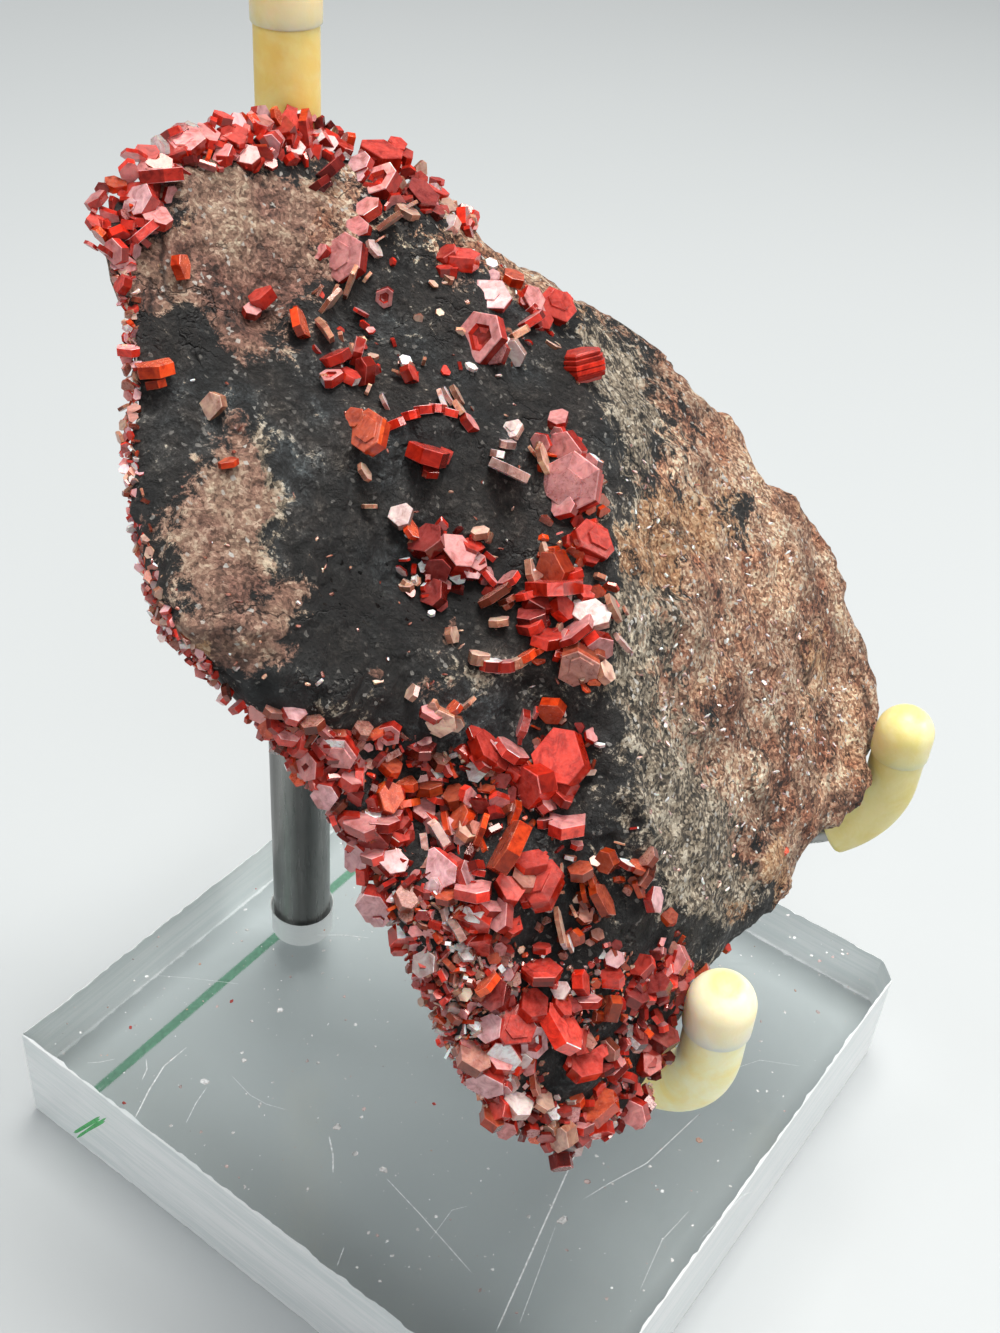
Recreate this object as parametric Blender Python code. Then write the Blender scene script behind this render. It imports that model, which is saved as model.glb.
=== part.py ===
"""Vanadinite crystals on a leaning block of matrix, held in a small display stand.

The stand is a clear slab with a steel post at its back. Two sleeved arms run forward from the post
and turn up into hooks; the specimen sits in the hooks and leans back against the sleeved rod.

Frame: millimetres in the constants, metres in the scene. The origin is the centre of the slab's
underside, +Z is up, -Y is the stand's front. Heights named OVER_SLAB are above the slab's top.

The specimen is laid out from one sighting point in front and to the left of the stand. A place on
it is given by the column and row of a 1000 x 1333 sighting frame, and the matrix's own form says
how far along that line of sight its surface lies.
"""
import math

import bmesh
import bpy
import numpy as np
from mathutils import Matrix, Vector

MM = 0.001
GAP = 0.3                          # clearance left between neighbouring solids

# --- stand ---------------------------------------------------------------------------------------
SLAB_SIDE = 68.0
SLAB_THICK = 12.7
SLAB_CLIP = 1.6                    # width of the broken-off front right corner
POST_X, POST_Y = -1.8, 24.3
POST_DIA = 6.35
POST_SINK = 6.5                    # depth of the blind hole in the slab
POST_TOP = 28.0                    # OVER_SLAB
ROD_DIA = 2.4
ROD_TOP = 99.0                     # OVER_SLAB
SLEEVE_DIA = 5.15
SLEEVE_BORE = ROD_DIA + 2 * GAP
POST_SLEEVE_LOW = 30.0             # OVER_SLAB
CAP_DIA = 5.55
CAP_LENGTH = 5.2
ARM_OVER_SLAB = 23.4               # centre line of both arms
HOOK_RADIUS = 9.5                  # bend of the arm's centre line
HOOK_TIP_OVER_SLAB = 38.3          # where the arm's centre line ends
HOOK_TIPS = {"right": (24.7, -29.2), "left": (-15.3, -32.1)}
SLEEVE_START = 33.0                # degrees into the bend where a hook's sleeve begins
ARM_SIDES = 3                      # bevel resolution of the arms and sleeves

# --- sighting ------------------------------------------------------------------------------------
EYE = Vector((-91.9, -59.6, 144.7))
EYE_TURN = math.radians(56.52)     # from +Y towards +X
EYE_DIP = math.radians(38.14)
EYE_ROLL = math.radians(4.86)
FRAME_FOCAL = 1546.6
FRAME_MIDDLE = (500.0, 666.5)

# --- matrix --------------------------------------------------------------------------------------
LEAN = math.radians(48.5)          # the specimen's middle plane, from the horizontal
LEAN_FOOT = (-28.0, 46.7)          # a point of that plane: its y and z
MATRIX_CELLS = 14                  # cells along one side of the cage that becomes the matrix
MIDDLE_COLUMN, MIDDLE_ROW = 480.0, 600.0
MATRIX_OUTLINE = (                 # column, row; clockwise from the top
    (235, 140), (320, 141), (385, 168), (445, 212), (500, 248), (580, 293), (650, 338), (700, 398),
    (745, 453), (765, 485), (800, 504), (824, 532), (836, 575), (865, 640), (884, 706), (864, 788),
    (838, 822), (812, 846), (798, 872), (772, 914), (738, 936), (700, 966), (688, 1008), (667, 1046),
    (636, 1090), (604, 1126), (562, 1150), (524, 1132), (494, 1096), (466, 1048), (440, 1002),
    (412, 940), (380, 886), (348, 832), (300, 768), (262, 722), (214, 674), (172, 626), (156, 560),
    (140, 470), (136, 390), (131, 310), (112, 262), (106, 222), (126, 184), (172, 156),
)
RIDGE = ((150, 470), (265, 546), (400, 588), (560, 610), (680, 604), (800, 640), (900, 664),
         (1100, 700))
RIDGE_RISE = ((150, 3.5), (300, 8.5), (450, 14.0), (620, 17.0), (800, 15.5), (950, 11.0),
              (1120, 7.0))
LEFT_FALL, RIGHT_FALL = 0.024, 0.058      # mm of depth lost per column away from the ridge
HOLLOW = (425, 600, 120, 120, 5.0)        # column, row, half width, half height, depth
LEDGE = ((230, 700), (330, 742), (440, 748), (515, 716), (560, 690))
LEDGE_STEP = 5.5                          # how far the flank lies behind the ledge's lip
LEDGE_REACH = 170.0                       # rows over which the flank comes forward again
FLANK_EDGE, SOFT_EDGE = 50.0, 22.0        # columns from the ridge to the flank, and the ledge's softness
RECESS = (418, 812, 55, 65, 3.5)
KNOB = (796, 520, 34, 30, 1.6)
LEAST_RISE = 2.0
BACK_RISE = 7.0
BACK_BULGE = (500, 770, 210, 230, 8.5)    # the unseen back is thickest low down, clear of the rod
ROUGH = ((11.0, 0.9), (4.6, 0.45))        # size and height of the matrix's lumps

# --- crystals ------------------------------------------------------------------------------------
# One row is column, row, width, thickness, turn, lean. Width is across the corners. Turn is the
# compass of the crystal's axis in the sighting frame, 0 to the right and 90 up; lean is its angle
# from the line of sight, so 0 shows the six-sided face and 90 shows the edge.
CLUSTERS = {
    "rim_left_cluster": ((164, 171, 3.7, 1.3, 95, 72), (190, 138, 3.3, 1.5, 90, 38),
                         (146, 194, 2.8, 1.4, 150, 30),
                         (160, 214, 2.4, 1.0, 60, 42), (150, 232, 2.8, 0.9, 130, 70)),
    "rim_top_cluster": ((234, 137, 2.7, 1.5, 80, 35), (257, 124, 2.4, 1.4, 60, 55),
                        (282, 131, 2.7, 1.3, 110, 35),
                        (308, 135, 3.9, 0.9, 5, 84), (324, 138, 2.3, 1.0, 30, 75)),
    "shoulder_cluster": ((382, 158, 3.9, 2.0, 70, 45), (374, 188, 3.6, 1.7, 140, 35),
                         (411, 206, 3.2, 1.8, 40, 45),
                         (356, 168, 2.5, 1.1, 150, 30), (434, 199, 2.2, 1.2, 60, 60)),
    "shoulder_low_cluster": ((462, 226, 2.8, 1.1, 5, 78), (443, 232, 2.2, 1.2, 130, 45)),
    "upper_hexagon": ((346, 255, 4.2, 1.9, 165, 28), (381, 231, 3.6, 0.7, 125, 74)),
    "crown_cluster": ((484, 299, 3.7, 1.3, 100, 22), (476, 342, 4.3, 1.7, 175, 26),
                      (512, 281, 2.8, 1.1, 65, 60),
                      (519, 326, 4.7, 1.1, 120, 74), (505, 352, 2.3, 1.1, 240, 30),
                      (530, 304, 2.6, 1.4, 20, 40),
                      (561, 313, 3.9, 1.8, 30, 32)),
    "crown_left_tablet": ((453, 269, 3.3, 1.7, 80, 58), (438, 264, 2.2, 1.4, 120, 50)),
    "ridge_barrel": ((579, 366, 3.7, 3.4, 100, 66),),
    "hollow_orange_tablet": ((376, 441, 3.7, 1.7, 150, 38),),
    "hollow_curved_plate": ((425, 430, 4.7, 1.0, 96, 84), (467, 426, 3.6, 1.3, 30, 66)),
    "hollow_bar": ((432, 464, 3.0, 1.5, 78, 66),),
    "ridge_pink_cluster": ((565, 474, 5.5, 2.4, 165, 27), (583, 533, 3.7, 2.4, 30, 40),
                           (546, 556, 3.0, 1.8, 200, 45),
                           (549, 578, 5.2, 1.3, 92, 80), (551, 418, 2.3, 1.2, 90, 45)),
    "ridge_grey_plate": ((511, 470, 4.0, 0.9, 65, 76),),
    "hollow_dark_cluster": ((430, 541, 3.1, 1.5, 120, 42), (455, 552, 3.4, 1.7, 50, 38),
                            (441, 568, 2.6, 1.4, 250, 40),
                            (468, 566, 2.3, 1.2, 10, 40)),
    "ridge_lilac_cluster": ((582, 607, 3.1, 1.1, 100, 34), (566, 627, 3.7, 0.8, 125, 74),
                            (573, 664, 3.5, 1.9, 270, 40),
                            (545, 643, 2.6, 1.2, 80, 62), (591, 640, 2.8, 1.4, 300, 45)),
    "ridge_curved_plate": ((503, 675, 5.6, 1.3, 100, 80),),
    "ledge_red_tablet": ((559, 762, 4.7, 2.2, 150, 28), (536, 788, 3.7, 2.4, 190, 50),
                         (573, 822, 3.6, 1.4, 86, 66)),
    "flank_long_plate": ((511, 842, 5.7, 1.4, 148, 76),),
    "flank_red_tablet": ((549, 884, 3.8, 2.6, 110, 38), (537, 861, 2.7, 1.6, 80, 50)),
    "flank_lilac_hexagon": ((449, 873, 3.3, 1.8, 160, 24),),
    "flank_orange_prism": ((387, 806, 2.8, 1.9, 20, 48), (360, 836, 2.8, 1.4, 100, 50)),
    "tip_cluster": ((521, 1035, 5.2, 2.3, 105, 28), (566, 1030, 4.4, 1.6, 35, 62),
                    (505, 1001, 2.9, 1.5, 130, 35),
                    (540, 1008, 2.8, 1.5, 60, 50)),
    "tip_pink_pair": ((602, 1108, 3.3, 1.9, 120, 45), (631, 1108, 2.7, 1.5, 190, 28),
                      (592, 1066, 3.0, 1.6, 60, 50)),
    "hook_side_cluster": ((662, 1036, 3.0, 1.6, 60, 50), (657, 992, 2.7, 1.3, 120, 45),
                          (676, 966, 2.8, 1.3, 150, 36),
                          (650, 1060, 2.6, 1.4, 30, 40)),
}
BRIDGE_WIDTH = 2.1                 # small tablets that grow a cluster's members together
BRIDGE_STEP = 1.4                  # spacing of those tablets
SCATTER_SEED = 41
SCATTER_ZONES = (                  # from (column, row) to (column, row), half width in columns, count
    ((96, 232), (150, 160), 14, 4),
    ((200, 150), (345, 142), 9, 3),
    ((118, 270), (134, 470), 7, 4),
    ((148, 520), (205, 668), 8, 4),
    ((240, 712), (352, 800), 20, 5),
    ((372, 862), (432, 984), 30, 5),
    ((452, 820), (486, 900), 24, 3),
    ((458, 960), (512, 1110), 22, 5),
    ((600, 880), (640, 1075), 22, 4),
    ((545, 1120), (600, 1136), 12, 2),
    ((330, 352), (372, 388), 12, 2),
)
SCATTER_WIDTH = (1.5, 2.4)
SCATTER_CLEARANCE = 0.55           # mm kept between a scattered crystal and the ones in nodes of their own

RED, LILAC, ROCK = (0.42, 0.05, 0.03), (0.52, 0.22, 0.24), (0.10, 0.085, 0.08)
STEEL, SILICONE, ACRYLIC = (0.30, 0.30, 0.30), (0.86, 0.80, 0.60), (0.90, 0.95, 0.95)


# --- scene helpers -------------------------------------------------------------------------------
def clear_scene():
    """Remove every object, and the collections that an earlier run made."""
    for item in list(bpy.data.objects):
        bpy.data.objects.remove(item, do_unlink=True)
    for group in list(bpy.data.collections):
        bpy.data.collections.remove(group)


def new_collection(name):
    """Make a collection and link it to the scene."""
    group = bpy.data.collections.new(name)
    bpy.context.scene.collection.children.link(group)
    return group


def plain_material(name, colour, roughness, metallic=0.0, transmission=0.0):
    """A Principled material with one colour."""
    material = bpy.data.materials.new(name)
    material.use_nodes = True
    shader = material.node_tree.nodes["Principled BSDF"]
    shader.inputs["Base Color"].default_value = (*colour, 1.0)
    shader.inputs["Roughness"].default_value = roughness
    shader.inputs["Metallic"].default_value = metallic
    shader.inputs["Transmission Weight"].default_value = transmission
    return material


def mesh_object(name, shape, group, material=None):
    """Put a bmesh into a new object, converting millimetres to metres."""
    bmesh.ops.scale(shape, vec=(MM, MM, MM), verts=shape.verts)
    mesh = bpy.data.meshes.new(name)
    shape.to_mesh(mesh)
    shape.free()
    item = bpy.data.objects.new(name, mesh)
    if material:
        mesh.materials.append(material)
    group.objects.link(item)
    return item


def as_cutter(item):
    """Mark an object as a tool that only cuts or joins others."""
    item.hide_render = True
    item.display_type = "WIRE"
    return item


def settle(item):
    """Apply an object's Booleans, and drop the loose scraps that they cut off its one body."""
    mesh = bpy.data.meshes.new_from_object(item.evaluated_get(bpy.context.evaluated_depsgraph_get()))
    item.modifiers.clear()
    shape = bmesh.new()
    shape.from_mesh(mesh)
    bodies, waiting = [], set(shape.verts)
    while waiting:
        body, edge = set(), {waiting.pop()}
        while edge:
            body |= edge
            edge = {link.other_vert(vert) for vert in edge for link in vert.link_edges} - body
        waiting -= body
        bodies.append(body)
    bodies.sort(key=len)
    bmesh.ops.delete(shape, geom=[vert for body in bodies[:-1] for vert in body], context="VERTS")
    bmesh.ops.delete(shape, geom=[edge for edge in shape.edges if not edge.link_faces], context="EDGES")
    shape.to_mesh(item.data)
    shape.free()
    bpy.data.meshes.remove(mesh)


def boolean(item, operation, tool):
    """Add an exact Boolean with an object or a whole collection as its tool."""
    modifier = item.modifiers.new(operation.title(), "BOOLEAN")
    modifier.operation = operation
    modifier.solver = "EXACT"
    modifier.use_self = operation == "UNION"
    if isinstance(tool, bpy.types.Collection):
        modifier.operand_type = "COLLECTION"
        modifier.collection = tool
    else:
        modifier.object = tool
    return modifier


def rod(name, low, high, radius, sides, group, material=None):
    """An upright cylinder at the post's place, between two heights above the slab's underside."""
    shape = bmesh.new()
    bmesh.ops.create_cone(shape, cap_ends=True, segments=sides, radius1=radius, radius2=radius,
                          depth=high - low, matrix=Matrix.Translation((POST_X, POST_Y, (low + high) / 2)))
    return mesh_object(name, shape, group, material)


def wire(name, points, radius, group, material=None):
    """A round bar along a list of points: a bevelled curve with filled caps, made a mesh."""
    curve = bpy.data.curves.new(name + "_curve", "CURVE")
    curve.dimensions = "3D"
    curve.bevel_depth = radius * MM
    curve.bevel_resolution = ARM_SIDES
    curve.use_fill_caps = True
    spline = curve.splines.new("POLY")
    spline.points.add(len(points) - 1)
    for knot, point in zip(spline.points, points):
        knot.co = (*(Vector(point) * MM), 1.0)
    bent = bpy.data.objects.new(name + "_curve", curve)
    group.objects.link(bent)
    depsgraph = bpy.context.evaluated_depsgraph_get()
    mesh = bpy.data.meshes.new_from_object(bent.evaluated_get(depsgraph))
    bpy.data.objects.remove(bent, do_unlink=True)
    shape = bmesh.new()
    shape.from_mesh(mesh)
    bmesh.ops.remove_doubles(shape, verts=shape.verts, dist=1e-6)
    bmesh.ops.recalc_face_normals(shape, faces=shape.faces)
    bmesh.ops.scale(shape, vec=(1 / MM, 1 / MM, 1 / MM), verts=shape.verts)
    bpy.data.meshes.remove(mesh)
    return mesh_object(name, shape, group, material)


# --- stand ---------------------------------------------------------------------------------------
def hook_path(side, covered=False):
    """Centre line of an arm from the post to its hook's tip: a level run, a quarter bend, a short rise.

    The covered stretch, inside the sleeve, begins part of the way round the bend.
    """
    tip = Vector((*HOOK_TIPS[side], 0.0))
    back = (Vector((POST_X, POST_Y, 0.0)) - tip).normalized()
    low = SLAB_THICK + ARM_OVER_SLAB
    reach = (Vector((POST_X, POST_Y, 0.0)) - tip).length
    points = [] if covered else [tip + back * (reach - POST_DIA / 2 - GAP) + Vector((0, 0, low))]
    first = math.radians(SLEEVE_START) if covered else 0.0
    turns = 6 if covered else 8
    for step in range(turns + 1):
        angle = first + (math.radians(90.0) - first) * step / turns
        behind = HOOK_RADIUS * (1 - math.sin(angle))
        points.append(tip + back * behind + Vector((0, 0, low + HOOK_RADIUS * (1 - math.cos(angle)))))
    points.append(tip + Vector((0, 0, SLAB_THICK + HOOK_TIP_OVER_SLAB)))
    return points


def cap(name, x, y, top, group, material):
    """A short round-ended cap over a sleeve: a turned thimble, open below."""
    outer, inner = CAP_DIA / 2, SLEEVE_DIA / 2 + GAP / 2
    low = top - CAP_LENGTH
    arc = 4
    shape = bmesh.new()
    profile = [(0.0, top)]
    for step in range(1, arc + 1):
        angle = math.radians(90) * step / arc
        profile.append((outer * math.sin(angle), top - outer + outer * math.cos(angle)))
    profile += [(outer, low), (inner, low), (inner, top - outer), (0.0, top - outer)]
    points = [shape.verts.new((radius, 0.0, height)) for radius, height in profile]
    edges = [shape.edges.new(pair) for pair in zip(points, points[1:])]
    bmesh.ops.spin(shape, geom=points + edges, cent=(0, 0, 0), axis=(0, 0, 1), angle=math.tau, steps=12,
                   use_duplicate=False)
    bmesh.ops.remove_doubles(shape, verts=shape.verts, dist=0.001)
    bmesh.ops.recalc_face_normals(shape, faces=shape.faces)
    bmesh.ops.translate(shape, vec=(x, y, 0), verts=shape.verts)
    return mesh_object(name, shape, group, material)


def build_slab(parts, tools):
    """The clear slab, with its blind hole and its clipped corner."""
    clear = plain_material("clear_acrylic", ACRYLIC, 0.05, transmission=1.0)
    shape = bmesh.new()
    bmesh.ops.create_cube(shape, size=1.0)
    bmesh.ops.scale(shape, vec=(SLAB_SIDE, SLAB_SIDE, SLAB_THICK), verts=shape.verts)
    bmesh.ops.translate(shape, vec=(0, 0, SLAB_THICK / 2), verts=shape.verts)
    slab = mesh_object("acrylic_base", shape, parts, clear)
    hole = rod("post_hole", SLAB_THICK - POST_SINK, SLAB_THICK + 2, POST_DIA / 2 + GAP, 24, tools)
    boolean(slab, "DIFFERENCE", as_cutter(hole))
    clip = bmesh.new()
    half, side = SLAB_SIDE / 2, SLAB_CLIP * 2
    bmesh.ops.create_cube(clip, size=side)
    bmesh.ops.scale(clip, vec=(1, 1, 2 * SLAB_THICK), verts=clip.verts)
    turn = Matrix.Translation((half, -half, 0)) @ Matrix.Rotation(math.radians(45), 4, "Z")
    bmesh.ops.transform(clip, matrix=turn, verts=clip.verts)
    boolean(slab, "DIFFERENCE", as_cutter(mesh_object("corner_clip", clip, tools)))


def build_stand(parts, tools):
    """Slab, post, rod, arms, sleeves and caps."""
    build_slab(parts, tools)
    steel = plain_material("steel", STEEL, 0.35, metallic=1.0)
    silicone = plain_material("silicone", SILICONE, 0.45)
    top = SLAB_THICK
    rod("steel_post", top - POST_SINK + GAP, top + POST_TOP, POST_DIA / 2, 24, parts, steel)
    rod("upper_rod", top + POST_TOP + GAP, top + ROD_TOP, ROD_DIA / 2, 12, parts, steel)
    sleeve = rod("post_sleeve", top + POST_SLEEVE_LOW, top + ROD_TOP - GAP, SLEEVE_DIA / 2, 16, parts,
                 silicone)
    bore = rod("post_bore", top + POST_SLEEVE_LOW - 1, top + ROD_TOP + 1, SLEEVE_BORE / 2, 16, tools)
    boolean(sleeve, "DIFFERENCE", as_cutter(bore))
    cap("post_cap", POST_X, POST_Y, top + ROD_TOP + GAP + CAP_DIA / 2, parts, silicone)
    for side, (x, y) in HOOK_TIPS.items():
        wire(side + "_arm", hook_path(side), ROD_DIA / 2, parts, steel)
        covered = hook_path(side, covered=True)
        tube = wire(side + "_sleeve", shortened(covered), SLEEVE_DIA / 2, parts, silicone)
        bore = wire(side + "_bore", lengthened(covered), SLEEVE_BORE / 2, tools)
        boolean(tube, "DIFFERENCE", as_cutter(bore))
        cap(side + "_cap", x, y, top + HOOK_TIP_OVER_SLAB + GAP + CAP_DIA / 2, parts, silicone)


def shortened(points):
    """The same path, ending one gap before its tip, so the cap's ceiling clears the sleeve."""
    return points[:-1] + [points[-1] - Vector((0, 0, GAP))]


def lengthened(points):
    """The same path, run on past both its ends."""
    first = points[0] + (points[0] - points[1]).normalized()
    return [first] + points + [points[-1] + Vector((0, 0, 1.0))]


# --- sighting ------------------------------------------------------------------------------------
def sight_axes():
    """The frame's right, up and ahead directions, from its turn, dip and roll."""
    ahead = Vector((math.sin(EYE_TURN) * math.cos(EYE_DIP), math.cos(EYE_TURN) * math.cos(EYE_DIP),
                    -math.sin(EYE_DIP)))
    level = Vector((math.cos(EYE_TURN), -math.sin(EYE_TURN), 0.0))
    upright = level.cross(ahead)
    right = level * math.cos(EYE_ROLL) + upright * math.sin(EYE_ROLL)
    return right, right.cross(ahead), ahead


RIGHT, UP, AHEAD = (np.array(axis) for axis in sight_axes())
LEAN_NORMAL = np.array((0.0, -math.sin(LEAN), math.cos(LEAN)))
LEAN_POINT = np.array((0.0, *LEAN_FOOT))
OUTLINE = np.array(MATRIX_OUTLINE, float) - (MIDDLE_COLUMN, MIDDLE_ROW)
OUTLINE = OUTLINE[np.argsort(np.arctan2(OUTLINE[:, 1], OUTLINE[:, 0]))]
OUTLINE_ANGLE = np.arctan2(OUTLINE[:, 1], OUTLINE[:, 0])
OUTLINE_REACH = np.hypot(OUTLINE[:, 0], OUTLINE[:, 1])


def sight_line(column, row):
    """Direction of the line of sight through a place of the frame, one unit ahead."""
    across = ((np.asarray(column, float) - FRAME_MIDDLE[0]) / FRAME_FOCAL)[..., None]
    down = ((np.asarray(row, float) - FRAME_MIDDLE[1]) / FRAME_FOCAL)[..., None]
    return AHEAD + across * RIGHT - down * UP


def lean_depth(line):
    """How far along a line of sight the specimen's middle plane lies."""
    return ((LEAN_POINT - np.array(EYE)) @ LEAN_NORMAL) / (line @ LEAN_NORMAL)


def along(table, at):
    """Read a two-column table of (place, value) between its rows."""
    places, values = zip(*table)
    return np.interp(at, places, values)


def dome(column, row, bump):
    """A smooth round bump of given centre, half widths and height."""
    x, y, wide, tall, height = bump
    return height * np.exp(-((column - x) / wide) ** 2 - ((row - y) / tall) ** 2)


def front_rise(column, row):
    """How far the matrix stands before its middle plane: a ridge with two falls, a hollow and a ledge."""
    off = column - along(RIDGE, row)
    fall = np.where(off < 0, -off * LEFT_FALL, off * RIGHT_FALL)
    rise = along(RIDGE_RISE, row) - fall + 1.2 * np.exp(-(off / 45) ** 2)
    rise = rise - dome(column, row, HOLLOW) - dome(column, row, RECESS) + dome(column, row, KNOB)
    below = row - along(LEDGE, column)
    flank = soft_step((along(RIDGE, row) - FLANK_EDGE - column) / SOFT_EDGE)
    step = LEDGE_STEP * soft_step(below / SOFT_EDGE) * np.clip(1 - below / LEDGE_REACH, 0, 1)
    return np.maximum(rise - step * flank, LEAST_RISE)


def back_rise(column, row):
    """How far the matrix reaches behind its middle plane."""
    return BACK_RISE + dome(column, row, BACK_BULGE)


def soft_step(value):
    """Run smoothly from 0 to 1 as the value passes through zero."""
    return 1 / (1 + np.exp(-np.clip(value, -30, 30)))


def lattice_noise(points, seed):
    """Smooth noise from -1 to 1: hashed values on a unit lattice, blended between its corners."""
    base = np.floor(points)
    part = points - base
    part = part * part * (3 - 2 * part)
    base = base.astype(np.int64)
    total = np.zeros(points.shape[:-1])
    for corner in np.ndindex(2, 2, 2):
        cell = base + np.array(corner)
        mixed = (cell[..., 0] * 73856093) ^ (cell[..., 1] * 19349663)
        mixed = mixed ^ (cell[..., 2] * 83492791) ^ (seed * 2654435761)
        mixed = (mixed ^ (mixed >> 13)) & 0xFFFFFFFF
        mixed = (mixed * 1274126177) & 0xFFFFFFFF
        value = ((mixed ^ (mixed >> 16)) & 0xFFFF) / 32767.5 - 1
        weight = np.prod(np.where(np.array(corner) == 1, part, 1 - part), axis=-1)
        total += value * weight
    return total


def roughened(points):
    """Shift points by the matrix's lumps, in three independent directions."""
    shift = np.zeros_like(points)
    for octave, (size, height) in enumerate(ROUGH):
        for axis in range(3):
            shift[..., axis] += height * lattice_noise(points / size, 11 * octave + axis)
    return points + shift


def matrix_point(column, row, share, front=True):
    """A point of the matrix's surface; share is 0 at the frame's middle and 1 on the outline."""
    line = sight_line(column, row)
    edge = np.sqrt(np.clip(1 - share ** 6, 0, 1))
    rise = front_rise(column, row) if front else -back_rise(column, row)
    depth = lean_depth(line) - rise * edge
    return roughened(np.array(EYE) + line * depth[..., None])


def outline_reach(column, row):
    """The outline's distance from the middle, towards a place of the frame, and that place's own."""
    x, y = np.asarray(column, float) - MIDDLE_COLUMN, np.asarray(row, float) - MIDDLE_ROW
    reach = np.interp(np.arctan2(y, x), OUTLINE_ANGLE, OUTLINE_REACH, period=math.tau)
    return reach, np.hypot(x, y)


def seat(column, row):
    """Where a line of sight meets the matrix's front, or passes its outline."""
    reach, own = outline_reach(column, row)
    return matrix_point(np.array([column]), np.array([row]), np.array([min(own / reach, 1.0)]))[0]


# --- matrix --------------------------------------------------------------------------------------
def build_matrix(name, group, grow=0.0, material=None):
    """The matrix: a cube's cage rounded to a ball, each point sent along its line of sight."""
    shape = bmesh.new()
    bmesh.ops.create_cube(shape, size=2.0)
    bmesh.ops.subdivide_edges(shape, edges=shape.edges[:], cuts=MATRIX_CELLS - 1, use_grid_fill=True)
    ball = np.array([vert.co for vert in shape.verts])
    ball = np.tan(ball * math.pi / 4)
    ball /= np.linalg.norm(ball, axis=1)[:, None]
    bearing = np.arctan2(ball[:, 1], ball[:, 0])
    tilt = np.arccos(np.clip(np.abs(ball[:, 2]), 0, 1))
    share = 0.5 * np.sin(tilt) + tilt / math.pi
    reach = np.interp(bearing, OUTLINE_ANGLE, OUTLINE_REACH, period=math.tau)
    column = MIDDLE_COLUMN + share * reach * np.cos(bearing)
    row = MIDDLE_ROW + share * reach * np.sin(bearing)
    front = matrix_point(column, row, share)
    back = matrix_point(column, row, share, front=False)
    for vert, place in zip(shape.verts, np.where(ball[:, 2:] < 0, front, back)):
        vert.co = place
    bmesh.ops.triangulate(shape, faces=shape.faces)
    bmesh.ops.recalc_face_normals(shape, faces=shape.faces)
    if grow:
        shape.normal_update()
        for vert, push in [(vert, vert.normal * grow) for vert in shape.verts]:
            vert.co += push
    return mesh_object(name, shape, group, material)


# --- crystals ------------------------------------------------------------------------------------
def crystal_axis(turn, lean):
    """The crystal's axis from its compass in the frame and its angle from the line of sight."""
    turn, lean = math.radians(turn), math.radians(lean)
    return Vector(math.sin(lean) * (math.cos(turn) * RIGHT + math.sin(turn) * UP) - math.cos(lean) * AHEAD)


def crystal(shape, middle, width, thick, axis, spin=0.0):
    """Add a six-sided tablet or prism to a bmesh."""
    place = Matrix.Translation(middle) @ axis.to_track_quat("Z", "Y").to_matrix().to_4x4()
    place = place @ Matrix.Rotation(spin, 4, "Z")
    bmesh.ops.create_cone(shape, cap_ends=True, segments=6, radius1=width / 2, radius2=width / 2, depth=thick,
                          matrix=place)


def crystal_middle(column, row, width, lean):
    """Centre of a crystal that stands on the matrix with its foot sunk in."""
    lift = 0.12 * width + 0.16 * width * math.sin(math.radians(lean))
    return Vector(seat(column, row) - AHEAD * lift)


def build_cluster(name, rows, parts, skin, clearance, material):
    """One grown-together group: its tablets on a shared foot, trimmed to clear the matrix."""
    middles = [crystal_middle(column, row, width, lean) for column, row, width, _, _, lean in rows]
    tools = new_collection(name + "_tablets")
    for index, (middle, (_, _, width, thick, turn, lean)) in enumerate(zip(middles, rows)):
        shape = bmesh.new()
        crystal(shape, middle, width, thick, crystal_axis(turn, lean), math.radians(23 * index))
        if index == 0:
            body = mesh_object(name, shape, parts, material)
        else:
            as_cutter(mesh_object("%s_%d" % (name, index), shape, tools))
    taken = [(middle, row[2] / 2) for middle, row in zip(middles, rows)]
    for index, middle in enumerate(bridges(rows, middles)):
        shape = bmesh.new()
        axis = crystal_axis(137 * index, 25 + 40 * (index % 2))
        crystal(shape, middle, BRIDGE_WIDTH, BRIDGE_WIDTH * 0.6, axis)
        as_cutter(mesh_object("%s_bridge_%d" % (name, index), shape, tools))
        taken.append((middle, BRIDGE_WIDTH / 2))
    if len(rows) > 1:
        boolean(body, "UNION", tools)
    boolean(body, "DIFFERENCE", skin)
    boolean(body, "DIFFERENCE", clearance)
    settle(body)
    return taken


def bridges(rows, middles):
    """Places for small tablets between each member of a cluster and its nearest earlier one."""
    places = []
    for index in range(1, len(rows)):
        near = min(range(index), key=lambda other: (middles[other] - middles[index]).length)
        span = (middles[near] - middles[index]).length
        count = max(int(span / BRIDGE_STEP) - 1, 1)
        for step in range(1, count + 1):
            share = step / (count + 1)
            column, row = (rows[near][k] * share + rows[index][k] * (1 - share) for k in (0, 1))
            places.append(crystal_middle(column, row, BRIDGE_WIDTH, 30))
    return places


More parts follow.
